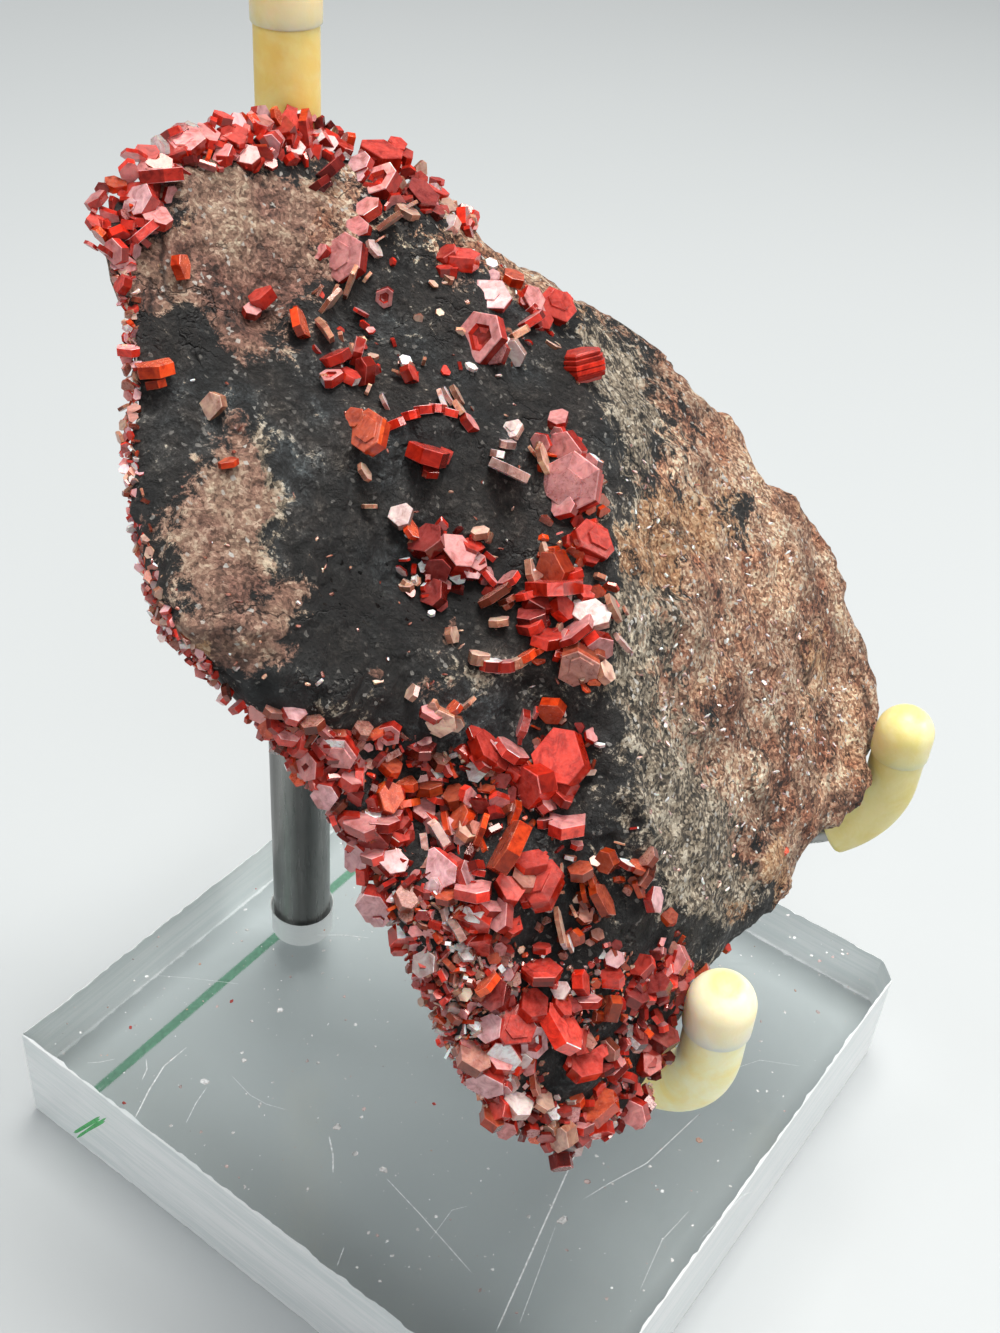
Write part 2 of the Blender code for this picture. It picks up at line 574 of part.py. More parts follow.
def scatter(tools, taken):
    """Seeded small crystals of the crust, kept clear of the larger ones, to be fused to the matrix."""
    chance = np.random.default_rng(SCATTER_SEED)
    number = 0
    for (x0, y0), (x1, y1), spread, count in SCATTER_ZONES:
        placed = 0
        for _ in range(count * 12):
            if placed == count:
                break
            share, aside = chance.uniform(0, 1), chance.uniform(-spread, spread)
            column, row = x0 + (x1 - x0) * share + aside, y0 + (y1 - y0) * share + aside * 0.4
            width = chance.uniform(*SCATTER_WIDTH)
            thick = width * chance.uniform(0.4, 0.75)
            turn, lean = chance.uniform(0, 360), chance.uniform(15, 75)
            reach, own = outline_reach(column, row)
            if own > reach * 1.02:
                continue
            middle = Vector(seat(column, row) - AHEAD * 0.1 * width)
            if any((middle - other).length < size + width / 2 + SCATTER_CLEARANCE for other, size in taken):
                continue
            shape = bmesh.new()
            crystal(shape, middle, width, thick, crystal_axis(turn, lean))
            as_cutter(mesh_object("small_crystal_%03d" % number, shape, tools))
            number += 1
            placed += 1


def build_specimen(parts, tools):
    """The matrix with its crust, cleared from the stand, and the larger crystals around it."""
    rock = plain_material("matrix", ROCK, 0.9)
    red = plain_material("vanadinite", RED, 0.25)
    lilac = plain_material("frosted_vanadinite", LILAC, 0.35)
    skin = as_cutter(build_matrix("matrix_skin", tools, GAP))
    clearance = build_clearance(tools)
    taken = []
    for name, rows in CLUSTERS.items():
        pale = "pink" in name or "lilac" in name
        taken += build_cluster(name, rows, parts, skin, clearance, lilac if pale else red)
    crust = new_collection("crust")
    scatter(crust, taken)
    matrix = build_matrix("matrix", parts, material=rock)
    boolean(matrix, "UNION", crust)
    boolean(matrix, "DIFFERENCE", clearance)
    settle(matrix)


def build_clearance(tools):
    """The room that the specimen leaves around the hooks, the arms and the sleeved rod."""
    clearance = new_collection("stand_clearance")
    for side in HOOK_TIPS:
        as_cutter(wire(side + "_clearance", lengthened(hook_path(side)), CAP_DIA / 2 + GAP, clearance))
    high = SLAB_THICK + ROD_TOP + CAP_DIA
    as_cutter(rod("rod_clearance", SLAB_THICK + POST_TOP, high, SLEEVE_DIA / 2 + GAP, 16, clearance))
    return clearance


def main():
    clear_scene()
    parts = new_collection("vanadinite_on_matrix")
    tools = new_collection("cutters")
    build_stand(parts, tools)
    build_specimen(parts, tools)


main()
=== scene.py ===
"""Vanadinite crystals on matrix, in a small display stand: dressed pieces, finishes, floor and light.

The constants are in millimetres and the meshes in metres, in the CAD's own frame: the origin is the
centre of the slab's underside, +Z is up and -Y is the stand's front. Places on the specimen are
given by the column and row of a 1000 x 1333 sighting frame, as in the CAD.
"""
import math

import bpy
import numpy as np
from mathutils import Matrix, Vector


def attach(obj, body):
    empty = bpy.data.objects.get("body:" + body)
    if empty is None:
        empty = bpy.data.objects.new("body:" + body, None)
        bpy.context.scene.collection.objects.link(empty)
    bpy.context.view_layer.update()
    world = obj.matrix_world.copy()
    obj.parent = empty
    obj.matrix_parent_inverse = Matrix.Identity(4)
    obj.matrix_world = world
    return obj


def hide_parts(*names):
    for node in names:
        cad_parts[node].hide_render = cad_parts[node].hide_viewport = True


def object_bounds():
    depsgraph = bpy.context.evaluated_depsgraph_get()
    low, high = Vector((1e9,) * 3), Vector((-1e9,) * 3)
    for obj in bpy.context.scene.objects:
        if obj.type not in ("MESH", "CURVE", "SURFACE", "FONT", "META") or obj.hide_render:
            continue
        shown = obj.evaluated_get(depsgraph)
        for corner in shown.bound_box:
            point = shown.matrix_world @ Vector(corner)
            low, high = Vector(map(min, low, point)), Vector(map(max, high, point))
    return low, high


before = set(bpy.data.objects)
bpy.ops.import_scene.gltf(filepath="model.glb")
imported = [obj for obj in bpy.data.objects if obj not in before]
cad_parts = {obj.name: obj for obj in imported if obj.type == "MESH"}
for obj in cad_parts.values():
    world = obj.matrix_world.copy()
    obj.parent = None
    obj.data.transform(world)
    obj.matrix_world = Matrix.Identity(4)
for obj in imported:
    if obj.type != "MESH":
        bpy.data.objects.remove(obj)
CAD_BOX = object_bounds()

MM = 0.001
TAU = math.tau

# --- stand, as in the CAD ------------------------------------------------------------------------
SLAB_SIDE, SLAB_THICK, SLAB_CLIP = 68.0, 12.7, 1.6
POST = (-1.8, 24.3)
POST_DIA, POST_SINK, POST_TOP = 6.35, 6.5, 28.0
ROD_DIA, ROD_TOP = 2.4, 99.0
SLEEVE_DIA, SLEEVE_BORE, POST_SLEEVE_LOW = 5.15, 3.0, 30.0
CAP_DIA, CAP_LENGTH = 5.55, 5.2
ARM_OVER_SLAB, HOOK_RADIUS, HOOK_TIP_OVER_SLAB = 23.4, 9.5, 38.3
HOOK_TIPS = {"right": (24.7, -29.2), "left": (-15.3, -32.1)}
SLEEVE_START = 33.0
SLIT = 0.3
HAIR = 1e-4          # a lean that gives the rod's sleeve a level direction

# --- sighting, as in the CAD ---------------------------------------------------------------------
EYE = np.array((-91.9, -59.6, 144.7))
EYE_TURN, EYE_DIP, EYE_ROLL = math.radians(56.52), math.radians(38.14), math.radians(4.86)
FRAME_FOCAL = 1546.6
FRAME_MIDDLE = (500.0, 666.5)
FRAME_HEIGHT = 1333.0

# --- matrix, as in the CAD -----------------------------------------------------------------------
LEAN = math.radians(48.5)
LEAN_POINT = np.array((0.0, -28.0, 46.7))
MIDDLE_COLUMN, MIDDLE_ROW = 480.0, 600.0
MATRIX_OUTLINE = (
    (235, 140), (320, 141), (385, 168), (445, 212), (500, 248), (580, 293), (650, 338), (700, 398),
    (745, 453), (765, 485), (800, 504), (824, 532), (836, 575), (865, 640), (884, 706), (864, 788),
    (838, 822), (812, 846), (798, 872), (772, 914), (738, 936), (700, 966), (688, 1008), (667, 1046),
    (636, 1090), (604, 1126), (562, 1150), (524, 1132), (494, 1096), (466, 1048), (440, 1002),
    (412, 940), (380, 886), (348, 832), (300, 768), (262, 722), (214, 674), (172, 626), (156, 560),
    (140, 470), (136, 390), (131, 310), (112, 262), (106, 222), (126, 184), (172, 156),
)
RIDGE = ((150, 470), (265, 546), (400, 588), (560, 610), (680, 604), (800, 640), (900, 664),
         (1100, 700))
RIDGE_RISE = ((150, 3.5), (300, 8.5), (450, 14.0), (620, 17.0), (800, 15.5), (950, 11.0),
              (1120, 7.0))
LEFT_FALL, RIGHT_FALL = 0.024, 0.058
HOLLOW = (425, 600, 120, 120, 5.0)
LEDGE = ((230, 700), (330, 742), (440, 748), (515, 716), (560, 690))
LEDGE_STEP, LEDGE_REACH = 5.5, 170.0
FLANK_EDGE, SOFT_EDGE = 50.0, 22.0
RECESS = (418, 812, 55, 65, 3.5)
KNOB = (796, 520, 34, 30, 1.6)
LEAST_RISE, CREST_RISE, CREST_REACH = 2.0, 1.2, 45.0
BACK_RISE = 7.0
BACK_BULGE = (500, 770, 210, 230, 8.5)
ROUGH = ((11.0, 0.9), (4.6, 0.45))
GRAIN = ((3.4, 0.50), (1.5, 0.34), (0.75, 0.20))     # the finer lumps, which only the dressed piece has

# Light and dark bands round the post, painted reflections: bearing share and level.
POST_REFLECTION_BANDS = ((0.0, 0.7), (0.40, 0.26), (0.46, 0.42), (0.53, 1.0), (0.565, 0.85), (0.60, 0.42), (0.66, 0.45),
              (0.72, 0.72), (0.84, 0.55), (1.0, 0.7))

# --- tones ---------------------------------------------------------------------------------------
# Each tone is the colour of a crystal's sides, and the colour of its frosted six-sided faces; the faces'
# paler pink is partly frosting and partly painted sheen.
TONES = {
    "red": ((0.40, 0.016, 0.006), (0.50, 0.045, 0.032)),
    "wine": ((0.24, 0.010, 0.006), (0.38, 0.060, 0.052)),
    "dark": ((0.12, 0.007, 0.005), (0.26, 0.036, 0.032)),
    "orange": ((0.54, 0.044, 0.008), (0.56, 0.090, 0.038)),
    "amber": ((0.26, 0.030, 0.006), (0.34, 0.060, 0.028)),
    "pink": ((0.42, 0.024, 0.014), (0.62, 0.225, 0.220)),
    "lilac": ((0.38, 0.034, 0.026), (0.60, 0.310, 0.325)),
    "brown": ((0.20, 0.040, 0.020), (0.40, 0.165, 0.125)),
    "tan": ((0.42, 0.190, 0.120), (0.60, 0.370, 0.280)),
    "pale": ((0.46, 0.270, 0.230), (0.62, 0.480, 0.460)),
    # Partly the colour of pale dust and chips, partly painted glint: small crystals painted palest as
    # highlights.
    "white": ((0.70, 0.620, 0.600), (0.86, 0.840, 0.830)),
}

# --- crystals ------------------------------------------------------------------------------------
# One row is column, row, width, thickness, turn, lean, tone and, if not plain, form. Width is across
# the corners. Turn is the compass of the crystal's axis in the sighting frame, 0 to the right and 90
# up; lean is its angle from the line of sight: 0 shows the six-sided face and 90 the edge. The rows
# are the CAD's, with its curved plates in short lengths.
CLUSTERS = {
    "rim_left_cluster": (
        (164, 171, 3.7, 1.3, 95, 72, "pink"), (190, 138, 3.3, 1.5, 90, 38, "pink", "stepped"),
        (146, 194, 2.8, 1.4, 150, 30, "lilac"), (160, 214, 2.4, 1.0, 60, 42, "pink"),
        (150, 232, 2.8, 0.9, 130, 70, "lilac")),
    "rim_top_cluster": (
        (234, 137, 2.7, 1.5, 80, 35, "red"), (257, 124, 2.4, 1.4, 60, 55, "pink"),
        (282, 131, 2.7, 1.3, 110, 35, "red"), (308, 135, 3.9, 0.9, 5, 84, "red"),
        (324, 138, 2.3, 1.0, 30, 75, "dark")),
    "shoulder_cluster": (
        (382, 158, 3.9, 2.0, 70, 45, "red"), (374, 188, 3.6, 1.7, 140, 35, "pink", "hollow"),
        (411, 206, 3.2, 1.8, 40, 45, "dark"), (356, 168, 2.5, 1.1, 150, 30, "lilac"),
        (434, 199, 2.2, 1.2, 60, 60, "red")),
    "shoulder_low_cluster": (
        (462, 226, 2.8, 1.1, 5, 78, "red"), (443, 232, 2.2, 1.2, 130, 45, "pale")),
    "upper_hexagon": (
        (346, 255, 4.2, 1.9, 165, 28, "pink", "stepped"), (381, 231, 3.6, 0.5, 125, 80, "tan")),
    "crown_cluster": (
        (484, 299, 3.7, 1.3, 100, 22, "lilac", "stepped"), (476, 342, 4.3, 1.7, 175, 26, "pink", "hollow"),
        (512, 281, 2.8, 1.1, 65, 60, "orange"), (509, 333, 2.2, 0.8, 120, 76, "tan"),
        (526, 323, 2.6, 0.9, 122, 74, "pink"), (505, 352, 2.3, 1.1, 240, 30, "pale"),
        (530, 304, 2.6, 1.4, 20, 40, "pink"), (561, 313, 3.9, 1.8, 30, 32, "red", "stepped")),
    "crown_left_tablet": (
        (453, 269, 3.3, 1.7, 80, 58, "red"), (438, 264, 2.2, 1.4, 120, 50, "red")),
    "ridge_barrel": ((579, 366, 3.7, 3.4, 100, 66, "red", "barrel"),),
    "hollow_orange_tablet": ((376, 441, 3.7, 1.7, 150, 38, "orange", "stepped"),),
    "hollow_curved_plate": (
        (402, 433, 1.5, 0.9, 112, 82, "red"), (415, 427, 1.5, 0.9, 104, 82, "red"),
        (428, 423, 1.6, 0.9, 96, 82, "pink"), (441, 421, 1.6, 0.9, 86, 82, "pink"),
        (453, 424, 1.4, 0.8, 75, 80, "pink"), (452, 408, 1.8, 0.5, 30, 80, "pale"),
        (462, 419, 1.8, 0.6, 35, 80, "tan"), (471, 432, 1.9, 0.9, 35, 72, "pink")),
    "hollow_bar": ((432, 464, 3.2, 1.6, 72, 76, "red"),),
    "ridge_pink_cluster": (
        (565, 480, 5.3, 2.2, 165, 27, "pink", "stepped"), (559, 447, 3.5, 1.4, 205, 36, "pink"),
        (583, 533, 3.7, 2.4, 30, 40, "red", "stepped"), (546, 556, 3.0, 1.8, 200, 45, "orange"),
        (549, 578, 5.2, 1.4, 92, 84, "red"), (551, 418, 2.3, 1.2, 90, 45, "pink")),
    "ridge_grey_plate": ((511, 470, 4.0, 1.0, 65, 85, "pale"),),
    "hollow_dark_cluster": (
        (430, 541, 3.1, 1.5, 120, 42, "dark"), (455, 552, 3.4, 1.7, 50, 38, "pink"),
        (441, 568, 2.6, 1.4, 250, 40, "dark"), (468, 566, 2.3, 1.2, 10, 40, "lilac", "hollow")),
    "ridge_lilac_cluster": (
        (582, 607, 3.1, 1.1, 100, 34, "pale"), (566, 627, 3.7, 0.8, 125, 74, "pink"),
        (573, 664, 3.5, 1.9, 270, 40, "brown", "stepped"), (545, 643, 2.6, 1.2, 80, 62, "red"),
        (591, 640, 2.8, 1.4, 300, 45, "pink")),
    "ridge_curved_plate": (
        (478, 674, 1.8, 1.1, 78, 78, "tan"), (491, 680, 1.9, 1.1, 84, 78, "pink"),
        (505, 681, 1.9, 1.1, 95, 78, "pink"), (518, 677, 1.9, 1.0, 106, 78, "tan"),
        (530, 668, 1.7, 0.8, 118, 78, "orange"), (541, 658, 1.5, 0.6, 125, 80, "orange")),
    "ledge_red_tablet": (
        (559, 762, 4.7, 2.2, 150, 28, "red"), (536, 788, 3.7, 2.4, 190, 50, "red"),
        (573, 822, 3.6, 1.4, 86, 66, "pink")),
    "flank_long_plate": ((511, 842, 5.7, 1.5, 148, 84, "orange"),),
    "flank_red_tablet": (
        (549, 884, 3.8, 2.6, 110, 38, "red", "stepped"), (537, 861, 2.7, 1.6, 80, 50, "red")),
    "flank_lilac_hexagon": ((449, 873, 3.3, 1.8, 160, 24, "lilac"),),
    "flank_orange_prism": (
        (387, 806, 2.8, 1.9, 20, 48, "orange"), (360, 836, 2.8, 1.4, 100, 50, "pink")),
    "tip_cluster": (
        (524, 1030, 3.6, 2.0, 60, 30, "red", "stepped"), (506, 1030, 2.4, 1.4, 150, 26, "lilac"),
        (519, 1053, 3.0, 1.6, 260, 30, "pink"), (542, 1043, 2.8, 1.6, 330, 34, "lilac", "hollow"),
        (533, 1060, 2.0, 1.2, 280, 40, "pale"), (566, 1030, 4.4, 1.6, 35, 70, "red"),
        (505, 1001, 2.9, 1.5, 130, 35, "dark"), (540, 1008, 2.8, 1.5, 60, 50, "red")),
    "tip_pink_pair": (
        (602, 1108, 3.3, 1.9, 120, 45, "orange"), (631, 1108, 2.7, 1.5, 190, 28, "pink"),
        (592, 1066, 3.0, 1.6, 60, 50, "red")),
    "hook_side_cluster": (
        (662, 1036, 3.0, 1.6, 60, 50, "dark"), (657, 992, 2.7, 1.3, 120, 45, "dark"),
        (676, 966, 2.8, 1.3, 150, 36, "pink"), (650, 1060, 2.6, 1.4, 30, 40, "red")),
}

# Single crystals that the CAD's crust stands for, or that are too small for it.
SINGLES = (
    (104, 222, 1.6, 0.9, 180, 50, "red"), (118, 251, 2.0, 1.0, 200, 35, "pink"),
    (125, 284, 1.6, 0.9, 170, 50, "red"), (131, 351, 1.9, 0.8, 90, 62, "pink"),
    (189, 266, 2.1, 1.0, 5, 76, "orange"), (267, 301, 2.2, 1.3, 120, 50, "red"),
    (258, 312, 1.5, 0.9, 60, 40, "pink"), (160, 374, 3.0, 1.2, 95, 66, "orange"),
    (218, 409, 2.2, 1.0, 200, 26, "tan"), (231, 465, 1.6, 0.6, 95, 66, "orange"),
    (207, 132, 2.4, 1.2, 60, 50, "pink"), (176, 148, 2.2, 1.2, 100, 40, "red"),
    (222, 152, 2.0, 1.0, 120, 35, "pink"), (270, 143, 2.2, 1.1, 250, 40, "lilac"),
    (294, 148, 2.0, 1.2, 60, 30, "pink"), (245, 152, 2.2, 1.2, 80, 22, "pink"),
    (340, 146, 2.2, 1.0, 60, 60, "red"), (327, 173, 2.8, 1.2, 130, 70, "dark"),
    (318, 184, 2.2, 0.8, 125, 76, "dark"), (394, 221, 2.2, 0.8, 60, 60, "tan"),
    (363, 214, 2.4, 1.2, 120, 40, "pink"), (372, 254, 1.8, 0.5, 30, 60, "pale"),
    (354, 281, 3.0, 0.5, 158, 84, "tan"), (336, 302, 3.2, 0.5, 140, 84, "tan"),
    (330, 331, 2.6, 0.6, 215, 82, "tan"), (317, 313, 1.2, 0.5, 60, 40, "white"),
    (307, 327, 2.8, 0.9, 20, 80, "orange"), (385, 297, 1.7, 0.9, 270, 26, "pink", "hollow"),
    (366, 310, 1.3, 0.4, 60, 76, "pink"), (340, 361, 2.7, 1.0, 112, 70, "red"),
    (362, 352, 2.3, 1.0, 165, 78, "pink"), (372, 374, 2.4, 1.3, 200, 50, "red"),
    (338, 385, 1.9, 1.0, 95, 50, "pink", "hollow"), (357, 381, 1.7, 0.9, 60, 60, "red"),
    (410, 360, 1.2, 0.5, 70, 38, "white"), (417, 381, 1.7, 1.1, 20, 70, "red"),
    (471, 374, 1.2, 0.4, 60, 60, "white"), (497, 344, 1.8, 0.5, 90, 40, "pale"),
    (514, 433, 1.8, 1.0, 120, 35, "pale", "stepped"), (392, 412, 1.5, 0.4, 25, 84, "pale"),
    (447, 411, 1.8, 0.5, 20, 84, "pale"), (459, 404, 1.9, 0.6, 28, 80, "tan"),
    (407, 515, 2.1, 1.0, 100, 24, "pale"), (374, 475, 1.5, 0.5, 30, 70, "tan"),
    (377, 505, 1.2, 0.4, 90, 82, "tan"), (415, 527, 2.1, 0.6, 30, 70, "orange"),
    (477, 533, 1.5, 0.8, 90, 50, "tan"), (470, 548, 2.0, 0.9, 60, 60, "red"),
    (411, 585, 1.2, 0.6, 90, 60, "tan"), (413, 582, 1.2, 0.5, 60, 80, "tan"),
    (385, 592, 0.7, 0.3, 20, 60, "white"), (437, 598, 2.2, 1.1, 150, 40, "dark"),
    (446, 588, 1.4, 0.7, 60, 50, "pink"), (420, 578, 0.9, 0.4, 10, 70, "white"),
    (434, 622, 0.6, 0.4, 90, 40, "white"), (493, 596, 3.0, 0.8, 122, 80, "brown"),
    (486, 575, 1.6, 0.6, 40, 80, "pink"), (505, 572, 2.0, 0.8, 120, 70, "pink"),
    (524, 560, 1.9, 0.7, 10, 76, "tan"), (532, 600, 2.2, 1.4, 60, 60, "red"),
    (530, 617, 2.6, 1.0, 100, 62, "dark"), (503, 633, 2.2, 0.7, 95, 78, "tan"),
    (530, 634, 2.4, 1.0, 110, 70, "red"), (556, 604, 2.4, 1.2, 30, 50, "red"),
    (605, 600, 2.6, 0.6, 25, 76, "tan"), (600, 668, 2.0, 0.9, 30, 60, "tan"),
    (614, 634, 2.0, 0.5, 40, 80, "pale"), (578, 585, 1.6, 0.8, 60, 40, "red"),
    (567, 440, 1.6, 0.8, 90, 50, "red"), (555, 437, 1.5, 0.7, 60, 50, "tan"),
    (540, 455, 2.6, 0.6, 15, 74, "tan"), (538, 540, 1.7, 0.7, 40, 60, "tan"),
    (565, 540, 2.0, 1.0, 250, 50, "orange"), (597, 546, 1.2, 0.6, 120, 40, "pink"),
    (548, 343, 1.8, 0.7, 60, 66, "tan"), (487, 270, 1.2, 0.5, 60, 35, "white"),
    (512, 296, 0.7, 0.4, 60, 40, "white"), (440, 284, 1.3, 0.7, 60, 50, "tan"),
    (452, 649, 1.8, 0.7, 5, 70, "tan"), (388, 691, 1.0, 0.7, 60, 40, "tan"),
    (418, 707, 1.4, 0.6, 150, 60, "tan"), (326, 689, 0.7, 0.3, 130, 84, "white"),
    (437, 736, 2.8, 1.0, 250, 34, "tan", "stepped"), (452, 722, 2.0, 0.6, 130, 66, "orange"),
    (466, 718, 1.6, 0.4, 130, 84, "tan"), (431, 728, 1.8, 0.8, 60, 50, "pink"),
    (366, 741, 1.6, 0.9, 60, 50, "brown"), (388, 747, 1.9, 1.0, 250, 36, "pink", "hollow"),
    (280, 716, 1.8, 0.8, 60, 60, "brown"), (300, 721, 1.9, 0.9, 60, 50, "lilac"),
    (318, 732, 2.2, 0.9, 100, 60, "brown"), (294, 742, 2.0, 1.0, 60, 50, "pink"),
    (343, 760, 2.9, 1.5, 250, 32, "pink", "stepped"), (315, 772, 2.6, 1.2, 200, 40, "pink"),
    (328, 802, 2.5, 1.2, 240, 36, "lilac"), (352, 788, 2.0, 1.2, 60, 60, "pink"),
    (306, 752, 2.0, 1.0, 160, 50, "red"), (416, 760, 2.6, 1.0, 85, 68, "dark"),
    (388, 776, 1.9, 1.0, 60, 50, "orange"), (404, 790, 2.1, 0.9, 95, 66, "orange"),
    (425, 791, 2.4, 1.0, 95, 70, "amber"), (381, 832, 3.1, 1.0, 88, 74, "pink"),
    (372, 824, 1.4, 0.6, 60, 40, "white"), (374, 847, 2.9, 1.4, 250, 50, "dark"),
    (398, 846, 2.2, 1.0, 60, 50, "red"), (355, 870, 2.4, 1.1, 210, 34, "lilac"),
    (352, 856, 2.0, 0.9, 60, 55, "pink"), (375, 866, 2.2, 1.0, 100, 60, "pink"),
    (395, 875, 2.5, 1.2, 60, 34, "lilac"), (378, 912, 3.0, 1.8, 250, 34, "lilac"),
    (404, 942, 2.5, 1.9, 280, 50, "red"), (399, 920, 1.4, 0.5, 100, 50, "white"),
    (416, 905, 2.0, 1.2, 60, 40, "brown"), (433, 962, 2.2, 1.2, 180, 24, "pale"),
    (422, 814, 2.0, 1.0, 60, 40, "pink"), (425, 826, 1.9, 0.8, 190, 40, "pink"),
    (439, 840, 3.0, 0.9, 210, 76, "pale"), (452, 800, 2.2, 1.4, 100, 50, "amber"),
    (462, 818, 2.3, 1.2, 150, 50, "orange"), (446, 824, 2.2, 0.6, 15, 80, "orange"),
    (470, 829, 2.0, 1.0, 60, 50, "tan"), (434, 778, 1.2, 0.4, 40, 66, "white"),
    (443, 772, 1.9, 0.6, 28, 74, "pink"), (481, 757, 2.9, 1.4, 35, 60, "red"),
    (476, 764, 2.4, 0.9, 40, 72, "pink"), (497, 753, 1.4, 0.4, 20, 66, "white"),
    (510, 757, 3.2, 1.0, 55, 76, "pink"), (495, 766, 2.0, 1.0, 30, 60, "red"),
    (521, 731, 2.8, 0.8, 162, 82, "pink"), (548, 716, 2.4, 1.2, 250, 46, "orange"),
    (517, 776, 2.0, 1.0, 60, 60, "red"), (564, 795, 2.4, 1.0, 60, 66, "red"),
    (549, 806, 2.0, 0.9, 35, 66, "pink"), (584, 735, 1.3, 0.6, 60, 40, "pink"),
    (594, 742, 0.9, 0.3, 90, 60, "white"), (480, 888, 3.4, 1.1, 92, 78, "pink"),
    (472, 874, 2.2, 0.9, 20, 60, "lilac"), (498, 905, 2.2, 1.2, 60, 60, "pink"),
    (487, 918, 2.8, 1.3, 250, 44, "red"), (506, 912, 2.8, 1.3, 150, 40, "pink"),
    (492, 940, 2.2, 1.1, 250, 50, "red"), (522, 925, 2.0, 1.0, 60, 50, "red"),
    (514, 886, 2.4, 1.4, 60, 40, "red"), (527, 876, 2.2, 0.9, 60, 55, "brown"),
    (586, 867, 2.2, 1.0, 95, 66, "amber"), (612, 860, 2.0, 1.2, 200, 40, "amber"),
    (630, 866, 1.7, 0.6, 60, 78, "pink"), (607, 896, 3.4, 0.9, 25, 74, "amber"),
    (600, 880, 2.0, 0.6, 20, 80, "amber"), (647, 880, 2.4, 0.8, 150, 78, "brown"),
    (650, 860, 2.0, 0.8, 140, 60, "brown"), (640, 870, 1.8, 0.7, 60, 66, "amber"),
    (660, 903, 2.4, 1.0, 8, 62, "lilac"), (672, 917, 1.6, 0.8, 60, 40, "amber"),
    (643, 893, 1.7, 0.6, 20, 70, "amber"), (567, 925, 3.8, 0.5, 12, 85, "tan"),
    (541, 862, 1.2, 0.3, 15, 84, "white"), (590, 912, 1.6, 0.8, 60, 40, "brown"),
    (580, 935, 1.5, 0.8, 200, 50, "amber"), (603, 935, 1.3, 0.5, 60, 50, "brown"),
    (545, 966, 3.2, 1.3, 88, 68, "red", "stepped"), (566, 991, 1.6, 0.8, 110, 22, "pale"),
    (590, 985, 2.2, 1.2, 5, 70, "red"), (621, 984, 2.4, 1.4, 95, 58, "red"),
    (624, 965, 1.7, 0.9, 60, 30, "lilac"), (617, 1015, 2.6, 1.3, 170, 66, "amber"),
    (596, 1006, 2.4, 0.8, 88, 78, "pink"), (575, 1010, 1.8, 1.0, 60, 50, "dark"),
    (590, 1045, 1.9, 0.9, 60, 60, "brown"), (616, 1052, 1.9, 1.0, 200, 40, "brown"),
    (622, 1070, 2.2, 0.8, 120, 72, "pink"), (640, 1005, 2.2, 1.4, 60, 60, "dark"),
    (646, 974, 2.2, 1.0, 130, 50, "red"), (668, 990, 2.0, 1.2, 60, 40, "red"),
    (642, 1042, 2.0, 1.0, 60, 60, "dark"), (489, 1059, 2.9, 1.5, 60, 50, "brown"),
    (501, 1082, 3.0, 1.6, 250, 36, "lilac"), (516, 1062, 2.2, 1.2, 60, 50, "pink"),
    (520, 1076, 1.4, 0.5, 20, 60, "white"), (508, 1112, 2.6, 1.4, 160, 50, "red"),
    (514, 1132, 2.0, 1.0, 250, 30, "pink"), (528, 1108, 2.6, 1.3, 60, 50, "pale"),
    (500, 1122, 2.0, 1.2, 60, 60, "orange"), (565, 1136, 2.7, 1.7, 200, 44, "tan"),
    (560, 1116, 1.4, 0.7, 60, 40, "white"), (585, 1125, 2.4, 1.0, 90, 74, "pink"),
    (578, 1134, 2.2, 1.4, 30, 60, "dark"), (559, 1159, 1.8, 1.5, 280, 60, "dark"),
    (600, 1130, 2.4, 1.4, 280, 60, "red"), (545, 1087, 2.0, 0.6, 15, 80, "brown"),
    (553, 1105, 2.0, 0.7, 60, 60, "tan"), (488, 1028, 1.3, 0.5, 60, 50, "white"),
    (495, 985, 2.4, 0.8, 130, 76, "orange"), (470, 930, 2.2, 0.8, 210, 78, "pale"),
    (478, 950, 1.4, 0.5, 60, 40, "white"), (728, 944, 1.1, 0.7, 60, 50, "red"),
    (705, 962, 1.9, 0.9, 130, 50, "orange"), (690, 976, 1.8, 0.9, 60, 40, "red"),
    (786, 852, 0.9, 0.6, 60, 40, "orange"),
)

